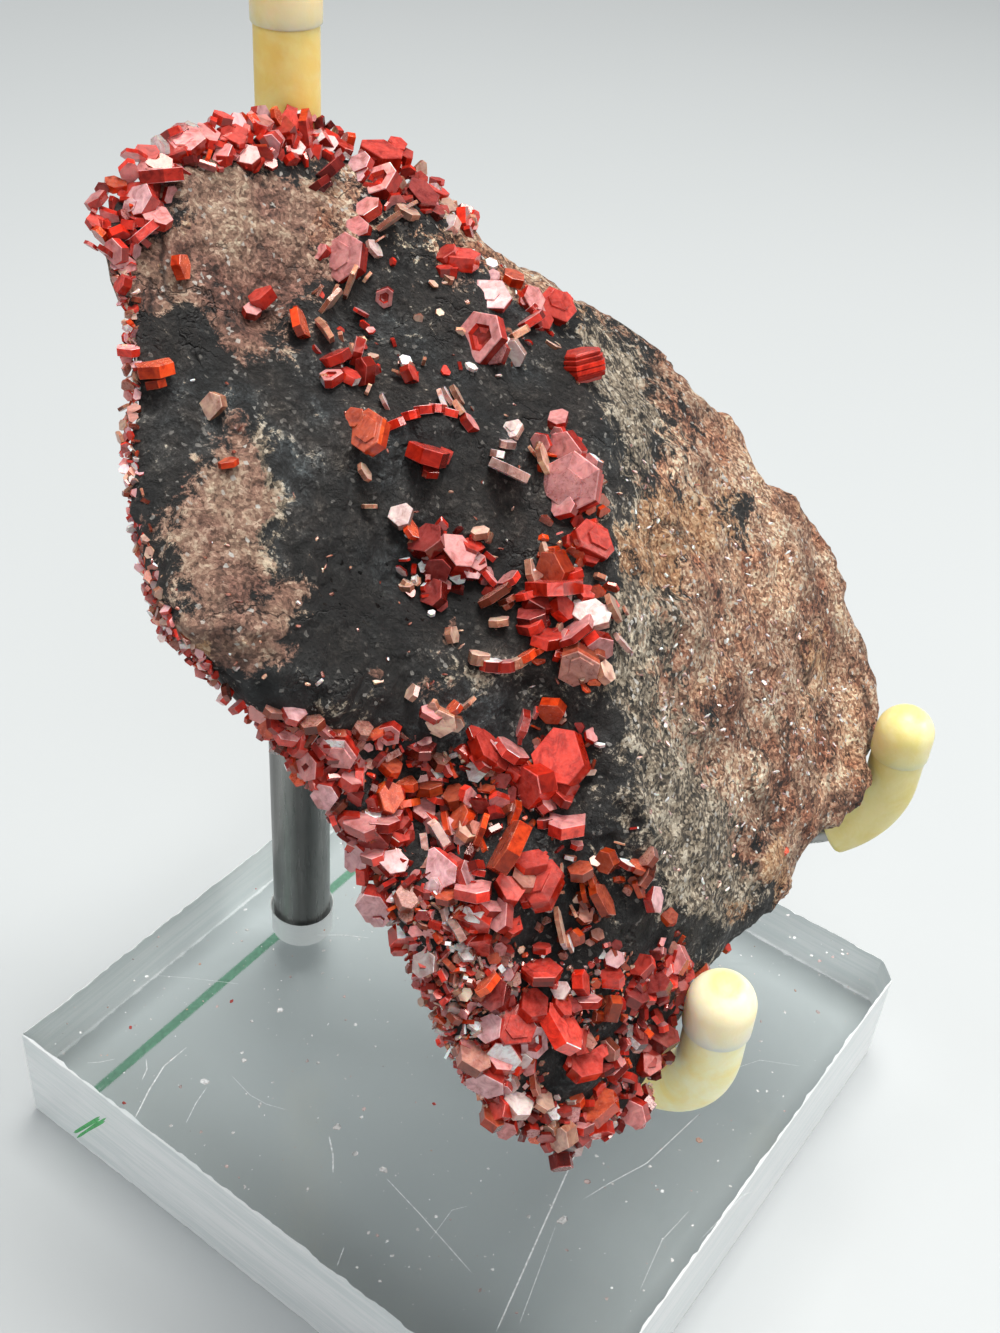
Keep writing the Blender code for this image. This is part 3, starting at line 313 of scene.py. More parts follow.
# Crystals strewn over a stretch of the matrix: the stretch's corners, how many, the least and most
# width, how far they lean about from the surface's own direction, and the tones with their shares.
DRUSE = {
    "top_rim_druse": (
        ((88, 246), (95, 190), (128, 150), (178, 124), (250, 112), (312, 112), (348, 138), (344, 160),
         (300, 158), (250, 160), (206, 164), (176, 184), (160, 210), (150, 240), (132, 262), (104, 262)),
        360, (0.9, 2.1), 1.0, {"red": 6, "pink": 6, "lilac": 3, "dark": 1, "orange": 2, "white": 0.7}),
    "shoulder_druse": (
        ((348, 150), (392, 146), (440, 188), (476, 222), (468, 240), (430, 220), (400, 226), (360, 206)),
        34, (0.9, 1.9), 1.0, {"red": 4, "pink": 3, "tan": 2, "white": 0.4}),
    "left_rim_druse": (
        ((112, 262), (136, 262), (140, 330), (142, 400), (150, 480), (166, 560), (182, 620), (222, 676),
         (210, 684), (168, 640), (148, 570), (130, 480), (126, 400), (120, 320)),
        620, (0.5, 1.15), 1.0,
        {"red": 2, "pink": 5, "lilac": 4, "brown": 4, "orange": 2, "tan": 4, "pale": 1, "white": 0.7}),
    "ledge_druse": (
        ((214, 676), (262, 712), (330, 738), (420, 748), (420, 770), (340, 800), (296, 770), (258, 728)),
        130, (0.7, 1.8), 1.0, {"red": 3, "pink": 5, "brown": 4, "orange": 2, "lilac": 3, "white": 0.5}),
    "upper_flank_druse": (
        ((262, 712), (330, 746), (400, 772), (470, 754), (530, 762), (512, 812), (490, 836), (474, 880),
         (522, 930), (500, 942), (440, 900), (400, 906), (372, 912), (350, 872), (326, 822), (296, 768)),
        400, (0.8, 2.1), 1.0,
        {"red": 4, "wine": 6, "pink": 4, "lilac": 2, "brown": 3, "dark": 8, "orange": 2, "pale": 0.4,
         "white": 0.3}),
    "lower_flank_druse": (
        ((372, 905), (440, 893), (512, 925), (526, 980), (500, 1046), (522, 1142), (496, 1118), (460, 1058),
         (424, 994), (402, 952)),
        1600, (0.5, 1.35), 1.0,
        {"red": 3, "pink": 7, "lilac": 5, "brown": 7, "dark": 2, "orange": 2, "tan": 4, "pale": 1.6,
         "white": 0.9}),
    "tip_druse": (
        ((500, 1040), (540, 1056), (556, 1120), (600, 1080), (636, 980), (660, 956), (694, 962), (686, 1010),
         (664, 1056), (650, 1100), (606, 1140), (560, 1160), (512, 1138), (486, 1090)),
        150, (0.7, 1.9), 1.0,
        {"red": 4, "wine": 3, "pink": 5, "dark": 6, "orange": 2, "pale": 1.0, "white": 0.7}),
    "dark_face_strays": (
        ((536, 700), (586, 730), (640, 830), (664, 900), (690, 950), (640, 960), (600, 1040), (560, 1080),
         (540, 960), (548, 860), (520, 800)),
        80, (0.5, 1.2), 1.0, {"dark": 3, "pink": 2, "brown": 3, "amber": 5, "tan": 1, "white": 0.6}),
    "ridge_strays": (
        ((540, 420), (600, 470), (606, 600), (596, 690), (540, 680), (520, 600), (536, 500)),
        60, (0.5, 1.4), 1.0, {"red": 4, "pink": 3, "brown": 2, "orange": 3, "tan": 3, "white": 0.4}),
    "hollow_strays": (
        ((400, 516), (484, 530), (496, 600), (440, 616), (404, 590)),
        34, (0.5, 1.3), 1.0, {"dark": 4, "pink": 3, "red": 2, "tan": 2, "white": 0.6}),
    "upper_strays": (
        ((300, 300), (360, 250), (480, 250), (560, 300), (560, 350), (470, 370), (420, 400), (330, 400)),
        44, (0.4, 1.0), 1.0, {"red": 3, "pink": 2, "tan": 4, "white": 1}),
    "black_face_chips": (
        ((150, 340), (300, 340), (520, 300), (600, 420), (600, 700), (500, 740), (300, 730), (200, 660),
         (150, 520)),
        110, (0.20, 0.70), 0.3, {"pale": 2, "tan": 3, "white": 0.7, "brown": 6}),
    "flank_crumbs": (
        ((262, 716), (420, 760), (530, 750), (540, 800), (500, 880), (540, 960), (640, 960), (690, 966),
         (650, 1100), (560, 1156), (496, 1116), (424, 992), (350, 872)),
        900, (0.35, 0.8), 1.0, {"brown": 5, "tan": 3, "pink": 3, "red": 3, "orange": 3, "pale": 1}),
    "right_face_chips": (
        ((616, 400), (690, 420), (790, 540), (850, 640), (862, 720), (820, 800), (760, 880), (700, 900),
         (660, 850), (624, 740), (606, 640), (604, 520)),
        230, (0.34, 0.88), 0.3, {"white": 4, "pale": 3, "tan": 1}),
}
# Ellipses that strewn crystals leave bare: centre column and row, half widths.
BARE = ((422, 826, 17, 36), (396, 779, 30, 10), (505, 862, 12, 12), (452, 786, 12, 9), (360, 765, 20, 6),
        (560, 985, 14, 24), (572, 1072, 17, 30), (640, 925, 36, 22), (615, 1030, 12, 16), (640, 1075, 8, 14))
CRYSTAL_SEED = 72
# The first number is the level of a face painted bright as a glint: a painted highlight.
PAINTED_GLINT_LEVEL, FLICKER = 0.88, (0.42, 0.12)   # level of a bright face, and how much sides and faces vary
# Listed crystals: thickness as a share of the CAD's solids', lift off the matrix as a share of the width
# when facing and when on edge, unevenness, spread of tone and share of faces painted bright as glints.
THINNED, LIFT, EDGE_LIFT = 0.72, 0.12, 0.16
LISTED_UNEVEN, LISTED_SPREAD, LISTED_GLINTS = 0.24, 0.16, 0.014
# Their companions: least width of the crystal beside them, frame columns in a millimetre, distance,
# width and thickness as shares of its own, and how far turn and lean differ.
LEAST_PARENT, COLUMNS_PER_MM = 2.5, 12.5
BESIDE, LESSER, THINNER, OTHER_TURN, OTHER_LEAN = (0.28, 0.5), (0.30, 0.55), (0.4, 0.8), 12, 9
# Strewn crystals: places tried for each, least distance as a share of two widths, how widths lean to
# the small, pull of their axes towards the surface's own direction and scatter about it, lift and
# thickness as shares of the width, unevenness, spread of tone, share of faces painted bright as glints
# and the greatest width that has any.
TRIES, CROWDING, SMALL_SHARES, OUTWARD, SCATTER = 14, 0.27, (1.3, 2.4), 0.16, 0.6
STREWN_LIFT, STREWN_THICK, STREWN_UNEVEN = (0.0, 0.30), (0.12, 0.38), 0.36
STREWN_SPREAD, STREWN_GLINTS, GLINTING = 0.26, 0.03, 1.3
# A stretch whose widths stay under the first number has crumbs; one that leans less than the second
# has chips, narrowed by the third.
CRUMB_WIDTH, CHIP_LEAN, CHIP_NARROW = 0.9, 0.5, 0.35


# --- meshes --------------------------------------------------------------------------------------
def placed(name, data):
    """Make an object of the data and put it in the scene."""
    item = bpy.data.objects.new(name, data)
    bpy.context.scene.collection.objects.link(item)
    return item


def put_mesh(name, points, faces, materials, smooth=True, *, slot, tint=None, zones=None, indices=None):
    """Make a piece from points in millimetres and faces, kept within the CAD's box.

    tint is one colour for each face, which its corners share; zones is one colour for each point;
    indices gives each face its material.
    """
    mesh = bpy.data.meshes.new(name)
    mesh.from_pydata(np.clip(np.asarray(points) * MM, *CAD_BOX).tolist(), [], faces)
    for material in materials:
        mesh.materials.append(material)
    mesh.polygons.foreach_set("use_smooth", np.full(len(faces), smooth))
    if indices is not None:
        mesh.polygons.foreach_set("material_index", indices)
    if tint is not None:
        sizes = np.empty(len(mesh.polygons), np.int32)
        mesh.polygons.foreach_get("loop_total", sizes)
        layer = mesh.color_attributes.new("tint", "FLOAT_COLOR", "CORNER")
        layer.data.foreach_set("color", np.repeat(tint, sizes, axis=0).astype(np.float32).ravel())
    if zones is not None:
        layer = mesh.color_attributes.new("zones", "FLOAT_COLOR", "POINT")
        layer.data.foreach_set("color", zones.astype(np.float32).ravel())
    mesh.update()
    piece = placed(name, mesh)
    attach(piece, "root")
    return piece


def shell(rings):
    """Close a grid of rings into a shell: each ring joins the next, and the end rings are single points.

    rings is (rows, columns, 3); the first and last rows are poles. Seen from outside, columns run
    anticlockwise and rows run downwards.
    """
    rows, columns = rings.shape[:2]
    points = np.vstack([rings[0].mean(0)[None], rings[1:-1].reshape(-1, 3), rings[-1].mean(0)[None]])
    here = 1 + np.arange((rows - 2) * columns).reshape(rows - 2, columns)
    beside = np.roll(here, -1, axis=1)
    quads = np.stack([here[:-1], here[1:], beside[1:], beside[:-1]], axis=-1).reshape(-1, 4)
    last = len(points) - 1
    first_fan = [[0, a, b] for a, b in zip(here[0], beside[0])]
    last_fan = [[last, b, a] for a, b in zip(here[-1], beside[-1])]
    return points, first_fan + quads.tolist() + last_fan


def turned(profile, middle, sides=72):
    """A turned form: a profile of (radius, height) from the top's axis to the bottom's, spun round Z."""
    profile = np.array(profile, float)
    angle = np.linspace(0, TAU, sides, endpoint=False)
    rings = np.stack([profile[:, :1] * np.cos(angle) + middle[0], profile[:, :1] * np.sin(angle) + middle[1],
                      np.repeat(profile[:, 1:], sides, axis=1)], axis=-1)
    return shell(rings)


def rounded(profile, radius, steps=4):
    """Round a profile's inner corners: each becomes an arc that touches its two straight runs."""
    profile = np.array(profile, float)
    out = [profile[0]]
    for before, corner, after in zip(profile, profile[1:], profile[2:]):
        one, two = before - corner, after - corner
        size = min(radius, 0.45 * np.linalg.norm(one), 0.45 * np.linalg.norm(two))
        start = corner + one / np.linalg.norm(one) * size
        end = corner + two / np.linalg.norm(two) * size
        for share in np.linspace(0, 1, steps + 1):
            out.append((1 - share) ** 2 * start + 2 * share * (1 - share) * corner + share ** 2 * end)
    out.append(profile[-1])
    return out


def resampled(path, count):
    """Places at equal steps along a path of straight runs."""
    path = np.array(path, float)
    length = np.concatenate([[0], np.cumsum(np.linalg.norm(np.diff(path, axis=0), axis=1))])
    at = np.linspace(0, length[-1], count)
    return np.stack([np.interp(at, length, path[:, axis]) for axis in range(3)], axis=1)


def frames_along(path):
    """Two directions square to a path that lies in one upright plane: its level side, and the other."""
    ahead = np.gradient(path, axis=0)
    ahead /= np.linalg.norm(ahead, axis=1)[:, None]
    run = path[-1] - path[0]
    side = np.array((run[1], -run[0], 0.0))
    side = np.repeat((side / np.linalg.norm(side))[None], len(path), axis=0)
    return side, np.cross(side, ahead)


def circles(path, index, radii, sides):
    """Circles square to a path: one of its own radius at each indexed place."""
    side, other = frames_along(path)
    angle = np.linspace(0, TAU, sides, endpoint=False)
    circle = (side[index][:, None] * np.cos(angle)[None, :, None]
              - other[index][:, None] * np.sin(angle)[None, :, None])
    return path[index][:, None] + radii[:, None, None] * circle


def bar(path, radius, sides=28):
    """A round bar along a path: a circle carried along it, drawn in to a point at both ends."""
    ends = np.array([0.0, 0.86 * radius])
    radii = np.concatenate([ends, np.full(len(path), radius), ends[::-1]])
    index = np.concatenate([[0, 0], np.arange(len(path)), [-1, -1]])
    return shell(circles(path, index, radii, sides)[::-1])


def sleeve(path, outer=SLEEVE_DIA / 2, inner=SLEEVE_BORE / 2, sides=36, lip=0.18):
    """A tube along a path: outside circles one way and bore circles back, closed into one skin."""
    index = np.concatenate([np.arange(len(path)), np.arange(len(path))[::-1]])
    radii = np.concatenate([np.full(len(path), outer), np.full(len(path), inner)])
    radii[[0, len(path) - 1]] -= lip
    rings = circles(path, index, radii, sides)
    here = np.arange(len(index) * sides).reshape(len(index), sides)
    beside, below = np.roll(here, -1, axis=1), np.roll(here, -1, axis=0)
    corner = np.roll(below, -1, axis=1)
    faces = np.stack([here, beside, corner, below], axis=-1).reshape(-1, 4)
    return rings.reshape(-1, 3), faces.tolist()


# --- the matrix's form, as in the CAD ------------------------------------------------------------
def sight_axes():
    """The frame's right, up and ahead directions, from its turn, dip and roll."""
    ahead = np.array((math.sin(EYE_TURN) * math.cos(EYE_DIP), math.cos(EYE_TURN) * math.cos(EYE_DIP),
                      -math.sin(EYE_DIP)))
    level = np.array((math.cos(EYE_TURN), -math.sin(EYE_TURN), 0.0))
    upright = np.cross(level, ahead)
    right = level * math.cos(EYE_ROLL) + upright * math.sin(EYE_ROLL)
    return right, np.cross(right, ahead), ahead


RIGHT, UP, AHEAD = sight_axes()
LEAN_NORMAL = np.array((0.0, -math.sin(LEAN), math.cos(LEAN)))
OUTLINE = np.array(MATRIX_OUTLINE, float) - (MIDDLE_COLUMN, MIDDLE_ROW)
OUTLINE = OUTLINE[np.argsort(np.arctan2(OUTLINE[:, 1], OUTLINE[:, 0]))]
OUTLINE_ANGLE = np.arctan2(OUTLINE[:, 1], OUTLINE[:, 0])
OUTLINE_REACH = np.hypot(OUTLINE[:, 0], OUTLINE[:, 1])


def sight_line(column, row):
    """Direction of the line of sight through a place of the frame, one unit ahead."""
    across = ((np.asarray(column, float) - FRAME_MIDDLE[0]) / FRAME_FOCAL)[..., None]
    down = ((np.asarray(row, float) - FRAME_MIDDLE[1]) / FRAME_FOCAL)[..., None]
    return AHEAD + across * RIGHT - down * UP


def lean_depth(line):
    """How far along a line of sight the specimen's middle plane lies."""
    return ((LEAN_POINT - EYE) @ LEAN_NORMAL) / (line @ LEAN_NORMAL)


def along(table, at):
    """Read a two-column table of (place, value) between its rows."""
    places, values = zip(*table)
    return np.interp(at, places, values)


def dome(column, row, bump):
    """A smooth round bump of given centre, half widths and height."""
    x, y, wide, tall, height = bump
    return height * np.exp(-((column - x) / wide) ** 2 - ((row - y) / tall) ** 2)


def soft_step(value):
    """Run smoothly from 0 to 1 as the value passes through zero."""
    return 1 / (1 + np.exp(-np.clip(value, -30, 30)))


def front_rise(column, row):
    """How far the matrix stands before its middle plane: a ridge with two falls, a hollow and a ledge."""
    off = column - along(RIDGE, row)
    fall = np.where(off < 0, -off * LEFT_FALL, off * RIGHT_FALL)
    rise = along(RIDGE_RISE, row) - fall + CREST_RISE * np.exp(-(off / CREST_REACH) ** 2)
    rise = rise - dome(column, row, HOLLOW) - dome(column, row, RECESS) + dome(column, row, KNOB)
    below = row - along(LEDGE, column)
    flank = soft_step((along(RIDGE, row) - FLANK_EDGE - column) / SOFT_EDGE)
    step = LEDGE_STEP * soft_step(below / SOFT_EDGE) * np.clip(1 - below / LEDGE_REACH, 0, 1)
    return np.maximum(rise - step * flank, LEAST_RISE)


def lattice_noise(points, seed):
    """Smooth noise from -1 to 1: hashed values on a unit lattice, blended between its corners."""
    base = np.floor(points)
    part = points - base
    part = part * part * (3 - 2 * part)
    base = base.astype(np.int64)
    total = np.zeros(points.shape[:-1])
    for corner in np.ndindex(2, 2, 2):
        cell = base + np.array(corner)
        mixed = (cell[..., 0] * 73856093) ^ (cell[..., 1] * 19349663)
        mixed = mixed ^ (cell[..., 2] * 83492791) ^ (seed * 2654435761)
        mixed = (mixed ^ (mixed >> 13)) & 0xFFFFFFFF
        mixed = (mixed * 1274126177) & 0xFFFFFFFF
        value = ((mixed ^ (mixed >> 16)) & 0xFFFF) / 32767.5 - 1
        weight = np.prod(np.where(np.array(corner) == 1, part, 1 - part), axis=-1)
        total += value * weight
    return total


def shifted(points, octaves, seed):
    """Shift points by lumps of several sizes, each in three independent directions."""
    shift = np.zeros_like(points)
    for octave, (size, height) in enumerate(octaves):
        for axis in range(3):
            shift[..., axis] += height * lattice_noise(points / size, seed + 11 * octave + axis)
    return points + shift


def surface(column, row, share, front):
    """The matrix's skin: share is 0 at the frame's middle and 1 on the outline; front picks the side."""
    line = sight_line(column, row)
    edge = np.sqrt(np.clip(1 - share ** 6, 0, 1))
    rise = np.where(front, front_rise(column, row), -BACK_RISE - dome(column, row, BACK_BULGE))
    return shifted(EYE + line * (lean_depth(line) - rise * edge)[..., None], ROUGH, 0)


def skin_place(bearing, way):
    """Column, row, share and side of a place: way runs 0 to 1 over the front and 1 to 2 over the back."""
    share = np.where(way <= 1, way, 2 - way)
    reach = np.interp(bearing, OUTLINE_ANGLE, OUTLINE_REACH, period=TAU) * share
    return MIDDLE_COLUMN + reach * np.cos(bearing), MIDDLE_ROW + reach * np.sin(bearing), share, way <= 1


def seat(column, row):
    """Where lines of sight meet the matrix's front, or pass its outline."""
    x, y = np.asarray(column, float) - MIDDLE_COLUMN, np.asarray(row, float) - MIDDLE_ROW
    reach = np.interp(np.arctan2(y, x), OUTLINE_ANGLE, OUTLINE_REACH, period=TAU)
    share = np.minimum(np.hypot(x, y) / reach, 1.0)
    return surface(np.asarray(column, float), np.asarray(row, float), share, np.full(x.shape, True))


def seat_normal(column, row):
    """Direction square to the matrix's front, from its rise over a few columns and rows."""
    column, row = np.asarray(column, float), np.asarray(row, float)
    across = seat(column + 5, row) - seat(column - 5, row)
    down = seat(column, row + 5) - seat(column, row - 5)
    normal = np.cross(down, across)
    return normal / np.linalg.norm(normal, axis=-1)[..., None]


def hook_path(side, covered=False):
    """Centre line of an arm from the post to its hook's tip: a level run, a quarter bend, a short rise."""
    tip = np.array((*HOOK_TIPS[side], 0.0))
    back = np.array((*POST, 0.0)) - tip
    reach = np.linalg.norm(back)
    back, low, lift = back / reach, SLAB_THICK + ARM_OVER_SLAB, np.array((0, 0, 1.0))
    first = math.radians(SLEEVE_START) if covered else 0.0
    points = [] if covered else [tip + back * (reach - POST_DIA / 2 - SLIT) + lift * low]
    for angle in np.linspace(first, math.pi / 2, 24):
        behind, rise = HOOK_RADIUS * (1 - math.sin(angle)), HOOK_RADIUS * (1 - math.cos(angle))
        points.append(tip + back * behind + lift * (low + rise))
    points.append(tip + lift * (SLAB_THICK + HOOK_TIP_OVER_SLAB - (SLIT if covered else 0)))
    return np.array(points)


def cleared(points, gap=0.35):
    """Push points off the hooks, arms and sleeved rod: each moves straight away from the nearest line."""
    high = SLAB_THICK + ROD_TOP + CAP_DIA
    rod = np.array(((*POST, SLAB_THICK + POST_TOP), (*POST, high)))
    lines = [(rod, SLEEVE_DIA / 2)]
    for side in HOOK_TIPS:
        path = resampled(hook_path(side), 40)
        lines.append((np.vstack([path, path[-1] + (0, 0, 3.0)]), CAP_DIA / 2))
    for path, radius in lines:
        for start, end in zip(path, path[1:]):
            run = end - start
            at = np.clip(((points - start) @ run) / (run @ run), 0, 1)
            away = points - (start + at[..., None] * run)
            far = np.maximum(np.linalg.norm(away, axis=-1), 1e-6)
            short = np.maximum(radius + gap - far, 0)
            points = points + away * (short / far)[..., None]
    return points


# --- shading -------------------------------------------------------------------------------------
class Finish:
    """A material under construction: its node tree, with short ways to add and join nodes."""

    def __init__(self, name):
        self.material = bpy.data.materials.new(name)
        self.material.use_nodes = True
        self.tree = self.material.node_tree
        self.shader = self.tree.nodes["Principled BSDF"]
        self.place = self.node("ShaderNodeTexCoord").outputs["Object"]

    def node(self, kind, **settings):
        made = self.tree.nodes.new(kind)
        for key, value in settings.items():
            setattr(made, key, value)
        return made

    def feed(self, socket, value):
        """Join a socket to another one, or set its value."""
        if isinstance(value, bpy.types.NodeSocket):
            self.tree.links.new(value, socket)
        else:
            socket.default_value = value

    def give(self, **values):
        """Feed the shader's own sockets, an underscore standing for a space, and hand the material over."""
        for key, value in values.items():
            self.feed(self.shader.inputs[key.replace("_", " ")], value)
        return self.material

    def stretched(self, scale):
        """The place scaled along each axis: a noise on it is drawn out where the scale is small."""
        made = self.node("ShaderNodeMapping")
        self.feed(made.inputs["Vector"], self.place)
        made.inputs["Scale"].default_value = scale
        return made.outputs[0]

    def noise(self, scale, detail=4.0, roughness=0.6, distortion=0.0, place=None):
        made = self.node("ShaderNodeTexNoise")
        self.feed(made.inputs["Vector"], place or self.place)
        values = {"Scale": scale, "Detail": detail, "Roughness": roughness, "Distortion": distortion}
        for key, value in values.items():
            made.inputs[key].default_value = value
        return made.outputs["Fac"]

    def cells(self, scale, place=None, feature="F1", output="Color"):
        made = self.node("ShaderNodeTexVoronoi", feature=feature)
        self.feed(made.inputs["Vector"], place or self.place)
        made.inputs["Scale"].default_value = scale
        return made.outputs[output]

    def math(self, operation, one, two=0.0, three=0.0, clamp=False):
        made = self.node("ShaderNodeMath", operation=operation, use_clamp=clamp)
        for socket, value in zip(made.inputs, (one, two, three)):
            self.feed(socket, value)
        return made.outputs[0]

    def add(self, one, two, clamp=False):
        return self.math("ADD", one, two, clamp=clamp)

    def times(self, one, two, clamp=False):
        return self.math("MULTIPLY", one, two, clamp=clamp)

    def weighed(self, *parts):
        """The sum of sources about their middles, each times its weight, plus a half."""
        total = 0.5
        for source, weight in parts:
            total = self.add(self.times(self.math("SUBTRACT", source, 0.5), weight), total)
        return total

    def ramp(self, value, *stops):
        """Colours or greys at given places of a 0 to 1 value."""
        made = self.node("ShaderNodeValToRGB")
        self.feed(made.inputs["Fac"], value)
        while len(made.color_ramp.elements) < len(stops):
            made.color_ramp.elements.new(0.5)
        for element, (place, colour) in zip(made.color_ramp.elements, stops):
            element.position = place
            element.color = (*colour, 1) if isinstance(colour, tuple) else (colour, colour, colour, 1)
        return made.outputs["Color"]

    def mix(self, share, one, two, blend="MIX"):
        made = self.node("ShaderNodeMix", data_type="RGBA", blend_type=blend)
        self.feed(made.inputs[0], share)
        for socket, value in ((made.inputs[6], one), (made.inputs[7], two)):
            self.feed(socket, (*value, 1) if isinstance(value, tuple) else value)
        return made.outputs[2]

    def dyed(self, colour, dye):
        """A colour multiplied by another."""
        return self.mix(1.0, colour, dye, "MULTIPLY")

    def bump(self, height, strength, distance):
        made = self.node("ShaderNodeBump")
        made.inputs["Strength"].default_value = strength
        made.inputs["Distance"].default_value = distance
        self.feed(made.inputs["Height"], height)
        return made.outputs["Normal"]

    def split(self, colour):
        made = self.node("ShaderNodeSeparateColor")
        self.feed(made.inputs[0], colour)
        return made.outputs


# The rock's tones, each from its darkest grains to its palest.
BLACK = ((0.24, (0.003, 0.003, 0.003)), (0.48, (0.013, 0.0125, 0.012)), (0.64, (0.042, 0.041, 0.040)),
         (0.78, (0.13, 0.13, 0.125)), (0.95, (0.36, 0.35, 0.33)))
PEPPER = ((0.2, (0.020, 0.017, 0.013)), (0.42, (0.145, 0.112, 0.080)), (0.60, (0.46, 0.365, 0.255)),
          (0.86, (0.92, 0.82, 0.66)))
BUFF = ((0.15, (0.035, 0.022, 0.017)), (0.38, (0.17, 0.090, 0.067)), (0.60, (0.45, 0.255, 0.195)),
        (0.88, (0.88, 0.68, 0.56)))
EARTH = ((0.15, (0.055, 0.029, 0.019)), (0.38, (0.31, 0.150, 0.092)), (0.60, (0.64, 0.36, 0.225)),
         (0.86, (0.98, 0.82, 0.62)))
RUST = ((0.15, (0.12, 0.050, 0.022)), (0.42, (0.46, 0.215, 0.100)), (0.62, (0.70, 0.40, 0.21)),
        (0.88, (0.98, 0.76, 0.52)))
# Dyes for those tones: blue and warm stretches, cooler buff, and ruddy and shaded earth.
BLUE_DYE = ((0.42, (1.15, 1.0, 0.88)), (0.60, (0.86, 1.0, 1.08)))
BUFF_DYE = ((0.36, (1.02, 0.86, 0.82)), (0.62, (1.0, 1.06, 0.94)))
RUDDY_DYE = ((0.36, (1.02, 0.74, 0.64)), (0.50, (1.0, 1.0, 1.0)), (0.64, (1.08, 1.16, 1.18)))
SHADE_DYE = ((0.36, (0.58, 0.52, 0.50)), (0.50, (1.0, 1.0, 1.0)), (0.64, (1.28, 1.24, 1.16)))
CHALK, GLINT, CRACK = (0.34, 0.34, 0.32), (0.80, 0.76, 0.70), (0.006, 0.005, 0.005)


def matrix_finish():
    """Granular rock: black, tan, brown and salt-and-pepper grains whose shares the zones give."""
    rock = Finish("granular_matrix")
    zones = rock.node("ShaderNodeAttribute", attribute_name="zones").outputs
    tan, brown, salt_and_shade = rock.split(zones["Color"])
    orange = zones["Alpha"]
    grain = rock.split(rock.cells(3600))
    fine = rock.noise(3800, 6, 0.75, 0.3)
    middling = rock.noise(700, 6, 0.7, 0.7)
    coarse = rock.noise(190, 4, 0.6, 0.4)
    broad = rock.noise(75, 4, 0.6, 0.5)
    pick = rock.weighed((grain[0], 0.50), (fine, 0.90), (middling, 1.0), (coarse, 0.75))
    dim = rock.weighed((grain[0], 0.14), (fine, 0.90), (middling, 1.0), (coarse, 0.75), (broad, 0.70))
    soft = rock.weighed((grain[0], 0.30), (fine, 0.65), (middling, 1.0), (coarse, 0.9))

    # Where the salt share sinks below its least the black darkens: painted shade in the hollow and under the
    # ledge, and darker patches on the back.
    shade_and_dark_patches = rock.ramp(salt_and_shade, (0.0, 0.30), (0.25, 1.0))
    black = rock.dyed(rock.ramp(dim, *BLACK), rock.ramp(rock.noise(150, 3, 0.6), *BLUE_DYE))
    black = rock.dyed(black, shade_and_dark_patches)
    chalk = rock.times(rock.ramp(rock.noise(1500, 8, 0.75, 2.0), (0.60, 0.0), (0.70, 0.9)),
                       rock.ramp(rock.noise(210, 3, 0.6), (0.50, 0.0), (0.66, 1.0)))
    black = rock.mix(rock.times(chalk, shade_and_dark_patches), black, CHALK)
    earth = rock.dyed(rock.ramp(pick, *EARTH), rock.ramp(rock.noise(190, 4, 0.65, 0.6), *RUDDY_DYE))
    earth = rock.dyed(earth, rock.ramp(rock.noise(95, 5, 0.65, 0.8), *SHADE_DYE))
    buff = rock.dyed(rock.ramp(soft, *BUFF), rock.ramp(coarse, *BUFF_DYE))

    def share(zone):
        """A zone's mask, its edge broken up by patches and grains."""
        broken = rock.add(zone, rock.weighed((coarse, 0.5), (middling, 1.6), (fine, 0.8)))
        return rock.ramp(broken, (0.86, 0.0), (1.14, 1.0))

    colour = rock.mix(share(rock.math("SUBTRACT", salt_and_shade, 0.12)), black, rock.ramp(pick, *PEPPER))
    colour = rock.mix(share(brown), colour, earth)
    colour = rock.mix(share(tan), colour, buff)
    colour = rock.mix(share(orange), colour, rock.ramp(pick, *RUST))
    sparkle = rock.math("GREATER_THAN", grain[1], 0.975)
    lit = rock.times(sparkle, rock.add(rock.add(brown, salt_and_shade), rock.times(tan, 0.6)), clamp=True)
    colour = rock.mix(lit, colour, GLINT)

    warped = rock.node("ShaderNodeVectorMath", operation="ADD")
    rock.feed(warped.inputs[0], rock.place)
    rock.feed(warped.inputs[1], rock.dyed(rock.noise(260, 4, 0.6), (0.010, 0.010, 0.010)))
    seam = rock.cells(110, warped.outputs[0], "DISTANCE_TO_EDGE", "Distance")
    cracks = rock.times(rock.ramp(seam, (0.0, 1.0), (0.035, 0.0)),
                        rock.ramp(rock.noise(60, 3, 0.6), (0.46, 0.0), (0.56, 1.0)))
    colour = rock.mix(rock.times(cracks, 0.75), colour, CRACK)

    height = rock.add(rock.times(grain[0], 0.5), fine)
    chips = rock.cells(900, output="Distance")
    facets = rock.cells(230, warped.outputs[0], output="Distance")
    for source, weight in ((middling, 2.2), (chips, -0.9), (coarse, 5.0), (cracks, -2.0), (facets, -1.8)):
        height = rock.math("MULTIPLY_ADD", source, weight, height)
    return rock.give(Base_Color=colour, Roughness=rock.ramp(sparkle, (0.0, 0.70), (1.0, 0.25)),
                     Normal=rock.bump(height, 1.0, 0.0007), IOR=1.5)


